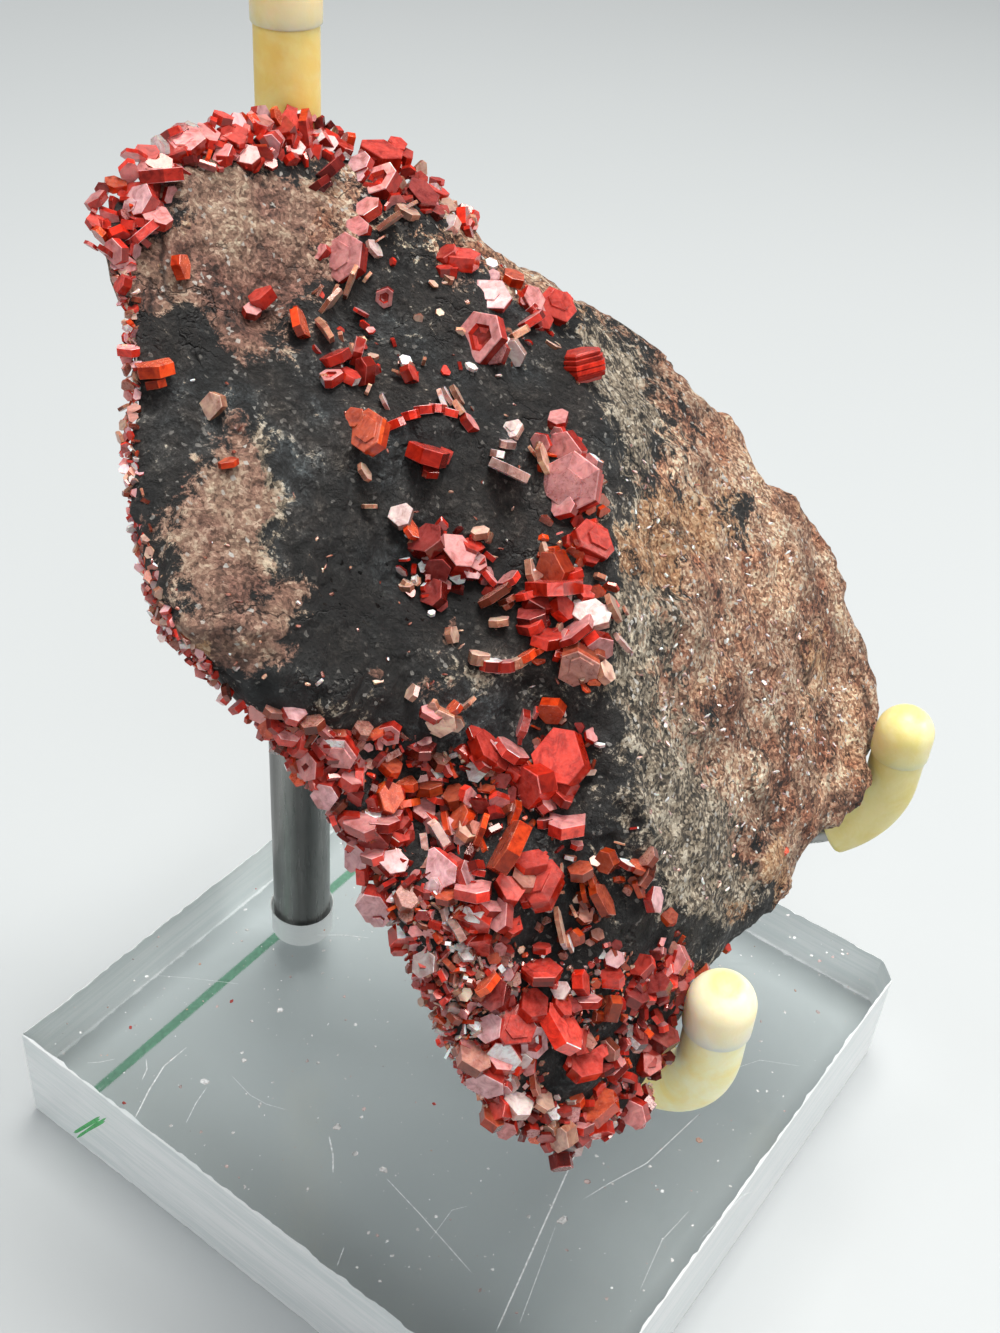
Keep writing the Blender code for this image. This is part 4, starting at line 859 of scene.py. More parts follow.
def crystal_finish():
    """Resinous crystal: the tint's colour with cloudy patches, glossy sides and frosted faces."""
    gem = Finish("vanadinite_crystal")
    # The tint carries painted highlights: faces painted bright as glints and edges painted paler than faces.
    tint = gem.node("ShaderNodeAttribute", attribute_name="tint").outputs
    frost = tint["Alpha"]
    cloud = gem.noise(1100, 5, 0.65, 0.8)
    speck = gem.noise(4200, 3, 0.6)
    drift = gem.ramp(cloud, (0.34, (0.58, 0.42, 0.40)), (0.50, (1.0, 1.0, 1.0)), (0.66, (1.30, 1.50, 1.45)))
    milk = gem.times(gem.times(gem.split(tint["Color"])[1], 4.5, clamp=True), frost)
    haze = gem.times(milk, gem.ramp(speck, (0.45, 0.0), (0.75, 0.26)))
    worn = gem.math("MULTIPLY_ADD", gem.math("SUBTRACT", speck, 0.5), 0.14, gem.times(milk, 0.12))
    return gem.give(
        Base_Color=gem.mix(haze, gem.dyed(tint["Color"], drift), (0.70, 0.54, 0.52)),
        Roughness=gem.add(gem.math("MULTIPLY_ADD", frost, 0.15, 0.05), worn, clamp=True),
        Normal=gem.bump(gem.add(cloud, gem.times(speck, 0.2)), 0.14, 0.00012),
        IOR=1.7, Specular_Tint=(1.0, 0.70, 0.66, 1.0), Transmission_Weight=0.22,
        Subsurface_Weight=0.25, Subsurface_Radius=(1.0, 0.10, 0.04), Subsurface_Scale=0.0006)


def steel_finish(name, bands=None):
    """Satin steel: fine marks along its length, a faint cloud of handling and, if given, upright bands of
    painted reflection.

    bands are the stops of a ramp over the bearing about the post's axis: painted reflections, light and dark.
    """
    steel = Finish(name)
    marks = steel.noise(5200, 3, 0.6, place=steel.stretched((1.0, 1.0, 0.03)))
    colour = steel.mix(steel.noise(160, 4, 0.6), (0.27, 0.27, 0.262), (0.41, 0.41, 0.395))
    if bands:
        apart = steel.node("ShaderNodeSeparateXYZ")
        steel.feed(apart.inputs[0], steel.place)
        x = steel.math("SUBTRACT", POST[0] * MM, apart.outputs[0])
        y = steel.math("SUBTRACT", POST[1] * MM, apart.outputs[1])
        bearing = steel.add(steel.math("DIVIDE", steel.math("ARCTAN2", y, x), TAU), 0.5)
        # The bands are painted reflections, light and dark by bearing round the post.
        colour = steel.dyed(colour, steel.ramp(bearing, *bands))
    return steel.give(Base_Color=colour, Roughness=steel.ramp(marks, (0.3, 0.24), (0.7, 0.38)),
                      Normal=steel.bump(marks, 0.12, 0.0001), Metallic=1.0)


def silicone_finish(name, colour, warm, reach):
    """Cloudy silicone: pale, a little see-through, warmer in its cloudy places and where the glow mask is."""
    soft = Finish(name)
    glow = soft.node("ShaderNodeAttribute", attribute_name="zones").outputs["Fac"]
    cloud = soft.noise(260, 4, 0.6, 0.5)
    dust = soft.noise(2400, 3, 0.7)
    tone = soft.mix(soft.ramp(cloud, (0.38, 0.0), (0.62, 1.0)), colour, warm)
    tone = soft.mix(soft.ramp(dust, (0.70, 0.0), (0.78, 0.35)), tone, (0.90, 0.86, 0.76))
    tone = soft.mix(soft.times(glow, 0.85), tone, (0.99, 0.74, 0.22))
    return soft.give(Base_Color=tone, Roughness=soft.ramp(cloud, (0.3, 0.30), (0.7, 0.46)),
                     Normal=soft.bump(soft.add(cloud, dust), 0.10, 0.0003), IOR=1.43,
                     Subsurface_Weight=0.85, Subsurface_Radius=(1.0, 0.75, 0.35), Subsurface_Scale=reach)


def marks_finish():
    """Dust, scratches and pen: the tint's colour, dull."""
    mark = Finish("slab_marks")
    tint = mark.node("ShaderNodeAttribute", attribute_name="tint").outputs["Color"]
    mottle = mark.ramp(mark.noise(2600, 4, 0.7), (0.35, 0.6), (0.65, 1.2))
    return mark.give(Base_Color=mark.dyed(tint, mottle), Roughness=0.6)


def clear_finish(name, colour, roughness, marks):
    """Clear acrylic: a see-through body with marks in its polish; it lets shadow light through."""
    clear = Finish(name)
    scuff = clear.noise(900, 6, 0.8, 0.4)
    scuffed = clear.times(clear.ramp(scuff, (0.55, 0.0), (0.85, 1.0)), marks)
    paler = tuple(min(part * 1.03, 1) for part in colour)
    clear.give(Base_Color=clear.mix(clear.noise(70, 5, 0.6), colour, paler),
               Roughness=clear.add(scuffed, roughness), Normal=clear.bump(scuff, 0.05, 0.0002),
               IOR=1.49, Transmission_Weight=1.0)
    light = clear.node("ShaderNodeLightPath").outputs
    window = clear.node("ShaderNodeBsdfTransparent")
    window.inputs["Color"].default_value = (0.90, 0.93, 0.93, 1)
    both = clear.node("ShaderNodeMixShader")
    clear.feed(both.inputs[0], clear.math("MAXIMUM", light["Is Shadow Ray"], light["Is Diffuse Ray"]))
    clear.feed(both.inputs[1], clear.shader.outputs[0])
    clear.feed(both.inputs[2], window.outputs[0])
    clear.feed(clear.tree.nodes["Material Output"].inputs["Surface"], both.outputs[0])
    return clear.material


def sawn_finish(name, colour, streak, across):
    """Sawn acrylic: milky, with fine saw lines along its faces."""
    sawn = Finish(name)
    place = sawn.stretched(across)
    lines = sawn.noise(1500, 4, 0.7, place=place)
    broad = sawn.noise(120, 4, 0.6, place=place)
    share = sawn.add(sawn.ramp(lines, (0.42, 0.0), (0.58, 0.7)), sawn.ramp(broad, (0.45, 0.0), (0.60, 0.5)),
                     clamp=True)
    return sawn.give(Base_Color=sawn.mix(share, colour, streak),
                     Roughness=sawn.ramp(lines, (0.3, 0.30), (0.7, 0.62)),
                     Normal=sawn.bump(lines, 0.5, 0.00015), IOR=1.49, Transmission_Weight=0.30)


# --- crystals ------------------------------------------------------------------------------------
# A form is a profile of (radius share, height share, shift share) from the top face down, and what
# each band below a profile point is: 0 a glossy side, 1 a frosted face, and past 1 an edge painted
# paler than a face: a painted highlight.
FORMS = {
    "plain": (((0.965, 1.0, 0), (1.0, 0.90, 0), (1.0, -0.90, 0), (0.965, -1.0, 0)), (1.4, 0.0, 1.2)),
    "sharp": (((1.0, 1.0, 0), (1.0, -1.0, 0)), (0.0,)),
    "stepped": (((0.58, 1.0, 0.17), (0.60, 0.78, 0.17), (0.96, 0.76, 0), (1.0, 0.66, 0), (1.0, 0.02, 0),
                 (0.94, -0.03, 0.03), (0.94, -1.0, 0.03)),
                (1.3, 1.0, 1.4, 0.0, 1.0, 0.0)),
    "hollow": (((0.24, 0.20, 0), (0.44, 0.36, 0), (0.54, 0.92, 0), (0.965, 1.0, 0), (1.0, 0.88, 0),
                (1.0, -0.88, 0), (0.96, -1.0, 0)),
               (0.1, 0.0, 1.0, 1.4, 0.0, 1.2)),
    "barrel": (((0.80, 1.0, 0), (0.90, 0.86, 0), (0.90, 0.70, 0), (0.80, 0.66, 0), (0.98, 0.58, 0),
                (0.98, 0.36, 0), (0.86, 0.32, 0), (1.03, 0.24, 0), (1.03, -0.02, 0), (0.90, -0.06, 0),
                (1.03, -0.14, 0),
                (1.03, -0.38, 0), (0.90, -0.42, 0), (0.98, -0.50, 0), (0.98, -0.72, 0), (0.84, -0.80, 0),
                (0.78, -1.0, 0)),
               (0.5, 0.0, 0.6, 0.6, 0.0, 0.6, 0.6, 0.0, 0.6, 0.6, 0.0, 0.6, 0.6, 0.0, 0.6, 0.6)),
    "crumb": (((0.75, 1.0, 0), (1.0, -0.3, 0), (0.6, -1.0, 0)), (0.3, 0.3)),
}


def crystal_axis(turn, lean):
    """Crystal axes from their compass in the frame and their angle from the line of sight, in degrees."""
    turn, lean = np.radians(turn)[..., None], np.radians(lean)[..., None]
    return np.sin(lean) * (np.cos(turn) * RIGHT + np.sin(turn) * UP) - np.cos(lean) * AHEAD


def six_corners(count, chance, uneven):
    """Corners of uneven hexagons of about unit size: where each side's line meets the next one's.

    Side k lies at distance d[k] from the middle, square to the direction k * 60 degrees; the corner of
    sides k and k+1 is d[k] along that direction and (d[k+1] - d[k]/2) / sin 60 beside it.
    """
    distance = 0.866 * chance.uniform(1 - uneven, 1 + uneven * 0.4, (count, 6))
    stretch = 1 + uneven * chance.uniform(-1, 1, (count, 1))
    distance = distance * np.where(np.arange(6) % 3 == 0, stretch, 1)
    after = np.roll(distance, -1, axis=1)
    angle = np.arange(6) * TAU / 6
    beside = (after - distance * 0.5) / math.sin(TAU / 6)
    x = distance * np.cos(angle) - beside * np.sin(angle)
    y = distance * np.sin(angle) + beside * np.cos(angle)
    reach = np.hypot(x, y).max(axis=1)[:, None]
    return x / reach, y / reach


def crystal_points(middles, axes, widths, thicks, form, chance, uneven, narrow=1.0):
    """Points, faces and face tints' frosting, with painted edge highlights, of many crystals of one form.

    Each is a six-sided profile: ring k lies at its height along the axis, has its radius share and is
    moved sideways by its shift share.
    """
    profile, bands = FORMS[form]
    profile = np.array(profile)
    count, rows = len(middles), len(profile)
    helper = np.where(np.abs(axes[:, 2:]) < 0.9, (0.0, 0.0, 1.0), (1.0, 0.0, 0.0))
    one = np.cross(helper, axes)
    one /= np.linalg.norm(one, axis=1)[:, None]
    two = np.cross(axes, one)
    spin = chance.uniform(0, TAU, count)[:, None]
    one, two = one * np.cos(spin) + two * np.sin(spin), two * np.cos(spin) - one * np.sin(spin)
    x, y = six_corners(count, chance, uneven)
    y = y * narrow
    radius = (widths / 2)[:, None, None] * profile[None, :, :1]
    height = (thicks / 2)[:, None] * profile[None, :, 1]
    across = radius * x[:, None] + (widths / 2)[:, None, None] * profile[None, :, 2:]
    across = across[..., None] * one[:, None, None] + (radius * y[:, None])[..., None] * two[:, None, None]
    points = middles[:, None, None] + across + height[..., None, None] * axes[:, None, None]
    first = (np.arange(count) * rows * 6)[:, None, None]
    ring = (np.arange(rows - 1) * 6)[None, :, None]
    side = np.arange(6)[None, None, :]
    beside = (side + 1) % 6
    upper = first + ring
    quads = np.stack([upper + side, upper + 6 + side, upper + 6 + beside, upper + beside], -1)
    tops = first[:, 0] + np.arange(6)
    bottoms = first[:, 0] + (rows - 1) * 6 + np.arange(6)[::-1]
    frost = np.concatenate([np.tile(np.repeat(bands, 6), count), np.ones(2 * count)])
    owner = np.concatenate([np.repeat(np.arange(count), (rows - 1) * 6), np.arange(count), np.arange(count)])
    if form == "hollow":                     # its pit has a glossy floor
        frost[-2 * count:-count] = 0.0
    faces = quads.reshape(-1, 4).tolist() + tops.tolist() + bottoms.tolist()
    return points.reshape(-1, 3), faces, frost, owner


def crystal_tints(tones, frost, owner, chance, spread=0.22, glints=0.0):
    """A colour and frosting for each face: its crystal's side or face tone, with chance light and dark.

    glints is the share of faces painted bright: painted glints.
    """
    sides = np.array([TONES[tone][0] for tone in tones])
    faces = np.array([TONES[tone][1] for tone in tones])
    level = np.exp(chance.normal(0, spread, len(tones)))
    # A frosting past 1 paints a face paler than its face tone: a painted highlight on the crystal's edge.
    colour = sides[owner] * (1 - frost[:, None]) + faces[owner] * frost[:, None]
    flicker = np.where(frost < 0.5, *FLICKER) * chance.normal(0, 1, len(owner))
    colour = colour * (level[owner] * np.exp(flicker))[:, None]
    # Painted glints: a share of faces painted bright as highlights.
    colour[chance.random(len(owner)) < glints] = PAINTED_GLINT_LEVEL
    return np.concatenate([np.clip(colour, 0, 0.9), np.clip(frost, 0, 1)[:, None]], axis=1)


def joined(batches):
    """Join batches of points, faces and tints into one mesh's arrays."""
    points, faces, tints, start = [], [], [], 0
    for some_points, some_faces, some_tints in batches:
        points.append(some_points)
        faces += [[start + corner for corner in face] for face in some_faces]
        tints.append(some_tints)
        start += len(some_points)
    return np.vstack(points), faces, np.vstack(tints)


def with_companions(rows, chance):
    """Put two smaller crystals beside each larger one, nearly parallel to it."""
    out = list(rows)
    for column, row, width, thick, turn, lean, tone, *form in rows:
        if width < LEAST_PARENT or form == ["barrel"]:
            continue
        for _ in range(2):
            bearing = chance.uniform(0, TAU)
            off = width * COLUMNS_PER_MM * chance.uniform(*BESIDE)
            out.append((column + off * math.cos(bearing), row + off * math.sin(bearing),
                        width * chance.uniform(*LESSER), thick * chance.uniform(*THINNER),
                        turn + chance.normal(0, OTHER_TURN), lean + chance.normal(0, OTHER_LEAN), tone))
    return out


def listed_crystals(rows, chance):
    """The crystals of a given list, each seated on the matrix with its foot sunk in."""
    rows = with_companions(rows, chance)
    batches = []
    for form in FORMS:
        some = [row for row in rows if (row[7] if len(row) > 7 else "plain") == form]
        if not some:
            continue
        column, line, width, thick, turn, lean = np.array([row[:6] for row in some], float).T
        thick = thick * THINNED
        lift = LIFT * width + EDGE_LIFT * width * np.sin(np.radians(lean))
        middles = seat(column, line) - AHEAD * lift[:, None]
        axes = crystal_axis(turn, lean)
        points, faces, frost, owner = crystal_points(middles, axes, width, thick, form, chance,
                                                     LISTED_UNEVEN)
        tones = [row[6] for row in some]
        tints = crystal_tints(tones, frost, owner, chance, LISTED_SPREAD, LISTED_GLINTS)
        batches.append((points, faces, tints))
    return joined(batches)


def inside(corners, column, row):
    """Which places lie in a polygon: an odd number of its sides lie to their right."""
    odd = np.zeros(len(column), bool)
    corners = np.array(corners, float)
    for (x0, y0), (x1, y1) in zip(corners, np.roll(corners, -1, axis=0)):
        if y0 == y1:
            continue
        crosses = (y0 > row) != (y1 > row)
        odd ^= crosses & (column < x0 + (row - y0) * (x1 - x0) / (y1 - y0))
    return odd


def strewn_crystals(corners, count, widths, spread, tones, chance):
    """Crystals strewn over a stretch, no two much nearer than their sizes, larger ones placed first."""
    low, high = np.min(corners, axis=0), np.max(corners, axis=0)
    column, row = (chance.uniform(low[axis], high[axis], count * TRIES) for axis in (0, 1))
    keep = inside(corners, column, row)
    for x, y, wide, tall in BARE:
        keep &= ((column - x) / wide) ** 2 + ((row - y) / tall) ** 2 > 1
    column, row = column[keep], row[keep]
    places = seat(column, row)
    width = np.sort(widths[0] + (widths[1] - widths[0]) * chance.beta(*SMALL_SHARES, len(column)))[::-1]
    chosen = []
    for index in range(len(column)):
        near = np.linalg.norm(places[chosen] - places[index], axis=1)
        if np.all(near > CROWDING * (width[index] + width[chosen])):
            chosen.append(index)
        if len(chosen) == count:
            break
    column, row, width, places = column[chosen], row[chosen], width[chosen], places[chosen]
    normals = seat_normal(column, row)
    axes = OUTWARD * normals + spread * chance.normal(0, SCATTER, (len(chosen), 3))
    axes /= np.linalg.norm(axes, axis=1)[:, None]
    middles = places + normals * (width * chance.uniform(*STREWN_LIFT, len(chosen)))[:, None]
    thick = width * chance.uniform(*STREWN_THICK, len(chosen))
    names = list(tones)
    shares = np.array([tones[name] for name in names], float)
    picked = [names[index] for index in chance.choice(len(names), len(chosen), p=shares / shares.sum())]
    form = "crumb" if widths[1] < CRUMB_WIDTH else "sharp"
    narrow = CHIP_NARROW if spread < CHIP_LEAN else 1.0
    points, faces, frost, owner = crystal_points(middles, axes, width, thick, form, chance,
                                                 STREWN_UNEVEN, narrow)
    glints = np.where(width < GLINTING, STREWN_GLINTS, 0.0)[owner]
    return points, faces, crystal_tints(picked, frost, owner, chance, STREWN_SPREAD, glints)


def put_crystals(name, points, faces, tints, gem):
    """Make a piece of flat-faced tinted crystals."""
    return put_mesh(name, points, faces, [gem], False, tint=tints, slot="vanadinite")


def build_crystals(gem):
    """One piece for each cluster, one for the single crystals and one for each strewn stretch."""
    for number, (node, rows) in enumerate(CLUSTERS.items()):
        chance = np.random.default_rng(CRYSTAL_SEED + number)
        piece = put_crystals(node + "_crystals", *listed_crystals(rows, chance), gem)
        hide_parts(node)
    chance = np.random.default_rng(CRYSTAL_SEED - 1)
    put_crystals("single_crystals", *listed_crystals(SINGLES, chance), gem)
    for number, (name, zone) in enumerate(DRUSE.items()):
        chance = np.random.default_rng(CRYSTAL_SEED + 100 + number)
        put_crystals(name, *strewn_crystals(*zone, chance), gem)


# --- matrix --------------------------------------------------------------------------------------
# Colour zones of the matrix's front: centre column and row, half widths, strength.
TAN_PATCHES = (
    (250, 195, 90, 40, 0.62), (205, 268, 66, 42, 0.95), (285, 275, 46, 46, 0.80), (163, 300, 26, 40, 0.85),
    (250, 335, 36, 34, 0.85), (236, 430, 30, 28, 0.40), (210, 500, 44, 62, 0.58), (246, 500, 28, 44, 0.75),
    (222, 560, 44, 36, 0.70), (238, 630, 48, 36, 1.05), (298, 590, 30, 16, 1.0), (262, 655, 40, 18, 0.5),
    (438, 705, 40, 14, 0.35), (470, 545, 14, 12, 0.5), (452, 650, 9, 24, 0.7), (430, 290, 40, 14, 0.35),
    (388, 690, 10, 7, 0.9), (205, 170, 56, 24, 0.40), (186, 345, 24, 36, -1.1), (350, 300, 30, 60, -0.5),
    (165, 440, 26, 60, -0.3),
)
BROWN_PATCHES = (
    (500, 226, 60, 24, 0.9), (450, 205, 40, 20, 0.7), (320, 195, 50, 40, 0.75), (560, 275, 30, 20, 0.6),
    (744, 516, 23, 25, -0.86), (660, 935, 70, 24, -0.8), (330, 250, 30, 30, 0.4), (425, 260, 40, 24, 0.35),
    (700, 850, 70, 80, -0.35), (735, 926, 54, 32, -1.1), (480, 250, 26, 18, 0.9), (522, 276, 30, 18, 0.9),
    (562, 300, 30, 16, 0.8), (634, 378, 40, 48, -0.38), (672, 430, 30, 26, -0.2),
)
# A negative salt patch also darkens the black rock; those over the hollow (420, 590) and the recess under the
# ledge (410, 800) are painted shade.
SALT_AND_SHADE_PATCHES = (
    (645, 640, 45, 70, 0.60), (690, 770, 60, 80, 0.60), (710, 870, 60, 60, 0.50), (630, 440, 26, 70, 0.25),
    (600, 340, 30, 40, 0.20), (262, 560, 40, 90, 0.30), (480, 700, 60, 20, 0.25), (262, 480, 24, 60, 0.45),
    (330, 720, 90, 12, 0.25), (728, 930, 54, 28, -0.52), (636, 380, 42, 46, 0.22), (420, 590, 110, 50, -0.40),
    (410, 800, 50, 60, -0.34), (340, 560, 50, 60, -0.16), (560, 1060, 40, 60, -0.2),
    (180, 345, 30, 40, -0.16),
)
ORANGE_PATCHES = (
    (690, 522, 60, 46, 0.62), (655, 560, 32, 38, 0.55), (775, 870, 13, 44, 0.75), (590, 318, 34, 16, 0.45),
    (828, 650, 16, 60, 0.5), (800, 515, 22, 16, 0.4), (712, 690, 26, 40, 0.35), (735, 905, 12, 12, 0.5),
    (640, 520, 14, 24, 0.35), (228, 645, 26, 18, 0.45), (175, 215, 26, 12, 0.3), (180, 262, 22, 16, 0.25),
)

# Columns from the ridge to the brown face, to the tan patches' limit and to the salt-and-pepper band,
# each with its softness, and the salt-and-pepper share that is everywhere.
BROWN_FROM, BROWN_SOFT, TAN_TO, TAN_SOFT = 72, 34, 10, 10
SALT_BAND, SALT_SOFT, SALT_LEAST = 50, 34, 0.24
# Rings on the front and on the back, places round each, and how far the rings crowd at the outline.
MATRIX_ROWS, MATRIX_BACK_ROWS, MATRIX_COLUMNS, CROWDED_OUTLINE = 158, 46, 470, 1.25


def patches(column, row, table):
    """The sum of soft round patches."""
    return sum(dome(column, row, patch) for patch in table)


def build_matrix(rock):
    """The matrix: rings from the front's middle over the outline to the back's middle.

    A ring's way grows fast in the middle and slowly at the outline. Each point is sent along its line
    of sight by the rise, then shifted by the finer lumps.
    """
    ways = []
    for rows in (MATRIX_ROWS, MATRIX_BACK_ROWS):
        tilt = (1 - (1 - np.linspace(0, 1, rows)) ** CROWDED_OUTLINE) * math.pi / 2
        ways.append(0.5 * np.sin(tilt) + tilt / math.pi)
    way = np.concatenate([ways[0], 2 - ways[1][::-1][1:]])[:, None]
    bearing = np.linspace(math.pi, -math.pi, MATRIX_COLUMNS, endpoint=False)[None, :]
    way, bearing = np.broadcast_arrays(way, bearing)
    column, row, share, side = skin_place(bearing, way)
    smooth = surface(column, row, share, side)
    rings = cleared(shifted(smooth, GRAIN, 40))
    points, faces = shell(rings)
    # The zones' borders wander by some columns and rows.
    warp = 16 * lattice_noise(smooth / 3.2, 90) + 9 * lattice_noise(smooth / 1.4, 91)
    across, down = column + warp, row + 14 * lattice_noise(smooth / 3.0, 92)
    off = across - along(RIDGE, down)
    brown = soft_step((off - BROWN_FROM) / BROWN_SOFT) + patches(across, down, BROWN_PATCHES)
    tan = patches(across, down, TAN_PATCHES) * soft_step((TAN_TO - off) / TAN_SOFT)
    band = np.exp(-((off - SALT_BAND) / SALT_SOFT) ** 2) * (0.16 + 0.24 * soft_step((down - 480) / 70))
    salt_and_shade = SALT_LEAST + band + patches(across, down, SALT_AND_SHADE_PATCHES)
    orange = patches(across, down, ORANGE_PATCHES)
    mottle = lattice_noise(smooth / 7.0, 93)
    before = np.stack([tan, brown, salt_and_shade, orange], axis=-1)
    behind = np.stack([0.25 * lattice_noise(smooth / 5.0, 94), 0.62 + 0.7 * mottle, 0.45 - 0.5 * mottle,
                       0.2 * lattice_noise(smooth / 6.0, 95)], axis=-1)
    grid = np.clip(np.where(side[..., None], before, behind), 0, 1)
    zones = np.vstack([grid[0, :1], grid[1:-1].reshape(-1, 4), grid[-1, :1]])
    piece = put_mesh("matrix_rock", points, faces, [rock], True, zones=zones, slot="matrix")
    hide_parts("matrix")


# --- stand ---------------------------------------------------------------------------------------
# Marks on the slab: the colour and width of the pen's strokes on its top and its left side, how far back
# they are; the scratches' colour; the dust's count, thickness, unevenness, and tones with their shares.
PEN, SIDE_PEN = ((0.08, 0.22, 0.14), 0.34), ((0.09, 0.50, 0.15), 0.26)
PEN_ROWS = 27.5 + np.linspace(-0.4, 0.4, 5)
SCRATCHED = (0.80, 0.82, 0.82)
DUST_COUNT, DUST_THICK, DUST_UNEVEN = 760, 0.06, 0.4
DUST_LEAST, DUST_MORE = 0.11, 0.42      # the least width, and how much wider the widest is
DUST_TONES = {"white": 0.76, "pale": 0.16, "tan": 0.07, "red": 0.01}
# Larger specks on the slab's top: column, row, width.
SPECKS = (
    (247, 930, 0.5), (232, 1001, 0.6), (252, 1021, 0.5), (280, 1010, 0.8), (244, 1060, 0.7), (337, 1127, 1.0),
    (355, 1153, 0.7), (364, 1109, 0.5), (227, 1166, 0.5), (201, 1132, 0.4), (384, 1170, 1.0),
    (387, 1241, 0.4), (380, 1281, 0.4), (307, 1061, 0.5), (358, 1096, 0.3), (761, 1041, 0.5),
    (767, 1091, 0.4), (699, 1140, 0.8), (563, 1220, 1.3), (587, 1181, 0.8), (434, 1104, 0.5),
    (785, 1012, 0.5), (818, 1012, 0.6), (205, 1081, 1.1), (672, 1260, 0.5), (480, 1290, 0.5),
    (640, 1120, 0.4), (730, 1186, 0.4), (124, 1103, 0.5), (318, 1063, 0.4),
)
# Scratches on the slab's top: width, then places by column and row.
SCRATCHES = (
    (0.14, (135, 1118), (149, 1090), (164, 1066), (187, 1047)), (0.10, (146, 1059), (147, 1069), (142, 1080)),
    (0.05, (87, 1063), (100, 1062), (115, 1059)), (0.08, (186, 1123), (196, 1103), (207, 1087)),
    (0.05, (232, 1076), (250, 1095), (266, 1104), (287, 1110)), (0.16, (329, 1136), (333, 1155), (333, 1173)),
    (0.09, (317, 935), (345, 935), (369, 938)), (0.08, (337, 1266), (344, 1247)),
    (0.16, (577, 1150), (496, 1332)), (0.06, (556, 1225), (519, 1325)),
    (0.07, (699, 1114), (647, 1163), (608, 1184), (582, 1200)), (0.10, (386, 1178), (420, 1214), (472, 1273)),
    (0.04, (150, 975), (190, 978), (240, 984)), (0.04, (640, 1290), (662, 1240), (690, 1210)),
    (0.04, (730, 1070), (760, 1060), (800, 1066)), (0.05, (430, 1240), (452, 1210), (468, 1206)),
    (0.04, (700, 1240), (742, 1196), (760, 1188)),
)

# The rings' finish from the hole's floor outwards: 0 is polished, 1 sawn and 2 drilled.
RING_FINISHES = (2, 2, 2, 2, 0, 1, 1, 1, 0)
BORE_FLOOR, BORE_LIP, SAW_STEP = 0.3, 0.12, 0.5     # cuts of the bore's corners, and steps of the outline


def slab_outline():
    """The slab's outline, anticlockwise from the back left, its front right corner clipped."""
    half = SLAB_SIDE / 2
    clip = SLAB_CLIP * math.sqrt(2)
    corners = [(-half, half), (-half, -half), (half - clip, -half), (half, -half + clip), (half, half)]
    out = []
    for (x0, y0), (x1, y1) in zip(corners, corners[1:] + corners[:1]):
        steps = max(int(math.hypot(x1 - x0, y1 - y0) / SAW_STEP), 2)
        for share in np.linspace(0, 1, steps, endpoint=False):
            out.append((x0 + (x1 - x0) * share, y0 + (y1 - y0) * share))
    return np.array(out)


def build_slab(clear, sawn, hole):
    """The clear slab as one skin round the post's axis.

    Rings run from the floor of the blind hole up its wall, out over the top to the outline, down the
    sawn sides and back under to the axis. A ring's point lies between the hole's circle and the outline.
    """
    outline = slab_outline()
    axis = np.array(POST)
    away = outline - axis
    unit = away / np.linalg.norm(away, axis=1)[:, None]
    bore = axis + unit * (POST_DIA / 2 + SLIT)
    floor = SLAB_THICK - POST_SINK
    # The rims are ragged: the width of their cut wanders round the slab.
    place = np.column_stack([outline / 0.9, np.zeros(len(outline))])
    edge = (0.20 + 0.13 * lattice_noise(place, 61) + 0.05 * lattice_noise(place * 2.7, 62))[:, None]
    inset = np.clip(outline, -SLAB_SIDE / 2 + edge, SLAB_SIDE / 2 - edge)
    middle = axis + 0 * unit
    levels = [(middle, floor), (bore - unit * BORE_FLOOR, floor), (bore, floor + BORE_FLOOR),
              (bore, SLAB_THICK - BORE_LIP), (bore + unit * BORE_LIP, SLAB_THICK), (inset, SLAB_THICK),
              (outline, SLAB_THICK - edge[:, 0] * 0.8), (outline, edge[:, 0]), (inset, 0.0), (middle, 0.0)]
    rings = np.stack([np.column_stack([flat, np.broadcast_to(height, len(flat))]) for flat, height in levels])
    points, faces = shell(rings)
    indices = np.repeat(RING_FINISHES, len(outline)).astype(np.int32)
    piece = put_mesh("clear_slab", points, faces, [clear, sawn, hole], False, indices=indices,
                     slot="clear_acrylic")
    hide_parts("acrylic_base")


def round_rod(radius, foot, head, edge, sides):
    """An upright rod on the post's axis, its rims rounded."""
    profile = [(0, head), (radius, head), (radius, foot), (0, foot)]
    return turned(rounded(profile, edge), POST, sides)


def build_stand(steel, soft):
    """Post, rod, arms, sleeves and caps."""
    top = SLAB_THICK
    low, high = top - POST_SINK + SLIT, top + POST_TOP
    piece = put_mesh("post", *round_rod(POST_DIA / 2, low, high, 0.4, 72), [steel["post"]], slot="steel")
    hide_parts("steel_post")
    rod = round_rod(ROD_DIA / 2, high + SLIT, top + ROD_TOP, 0.2, 36)
    piece = put_mesh("rod", *rod, [steel["rod"]], slot="steel")
    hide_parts("upper_rod")
    foot, head = (*POST, top + POST_SLEEVE_LOW), (POST[0] + HAIR, POST[1], top + ROD_TOP - SLIT)
    path = np.linspace(foot, head, 60)
    piece = put_mesh("rod_sleeve", *sleeve(path), [soft["rod"]], slot="silicone")
    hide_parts("post_sleeve")
    put_cap("post_cap", POST, top + ROD_TOP + SLIT + CAP_DIA / 2, soft["post_cap"])
    for side, tip in HOOK_TIPS.items():
        arm = bar(resampled(hook_path(side), 90), ROD_DIA / 2)
        piece = put_mesh(side + "_hook_arm", *arm, [steel["rod"]], slot="steel")
        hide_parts(side + "_arm")
        tube = sleeve(resampled(hook_path(side, covered=True), 60))
        piece = put_mesh(side + "_hook_sleeve", *tube, [soft[side]], slot="silicone")
        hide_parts(side + "_sleeve")
        put_cap(side + "_cap", tip, top + HOOK_TIP_OVER_SLAB + SLIT + CAP_DIA / 2, soft[side + "_cap"])


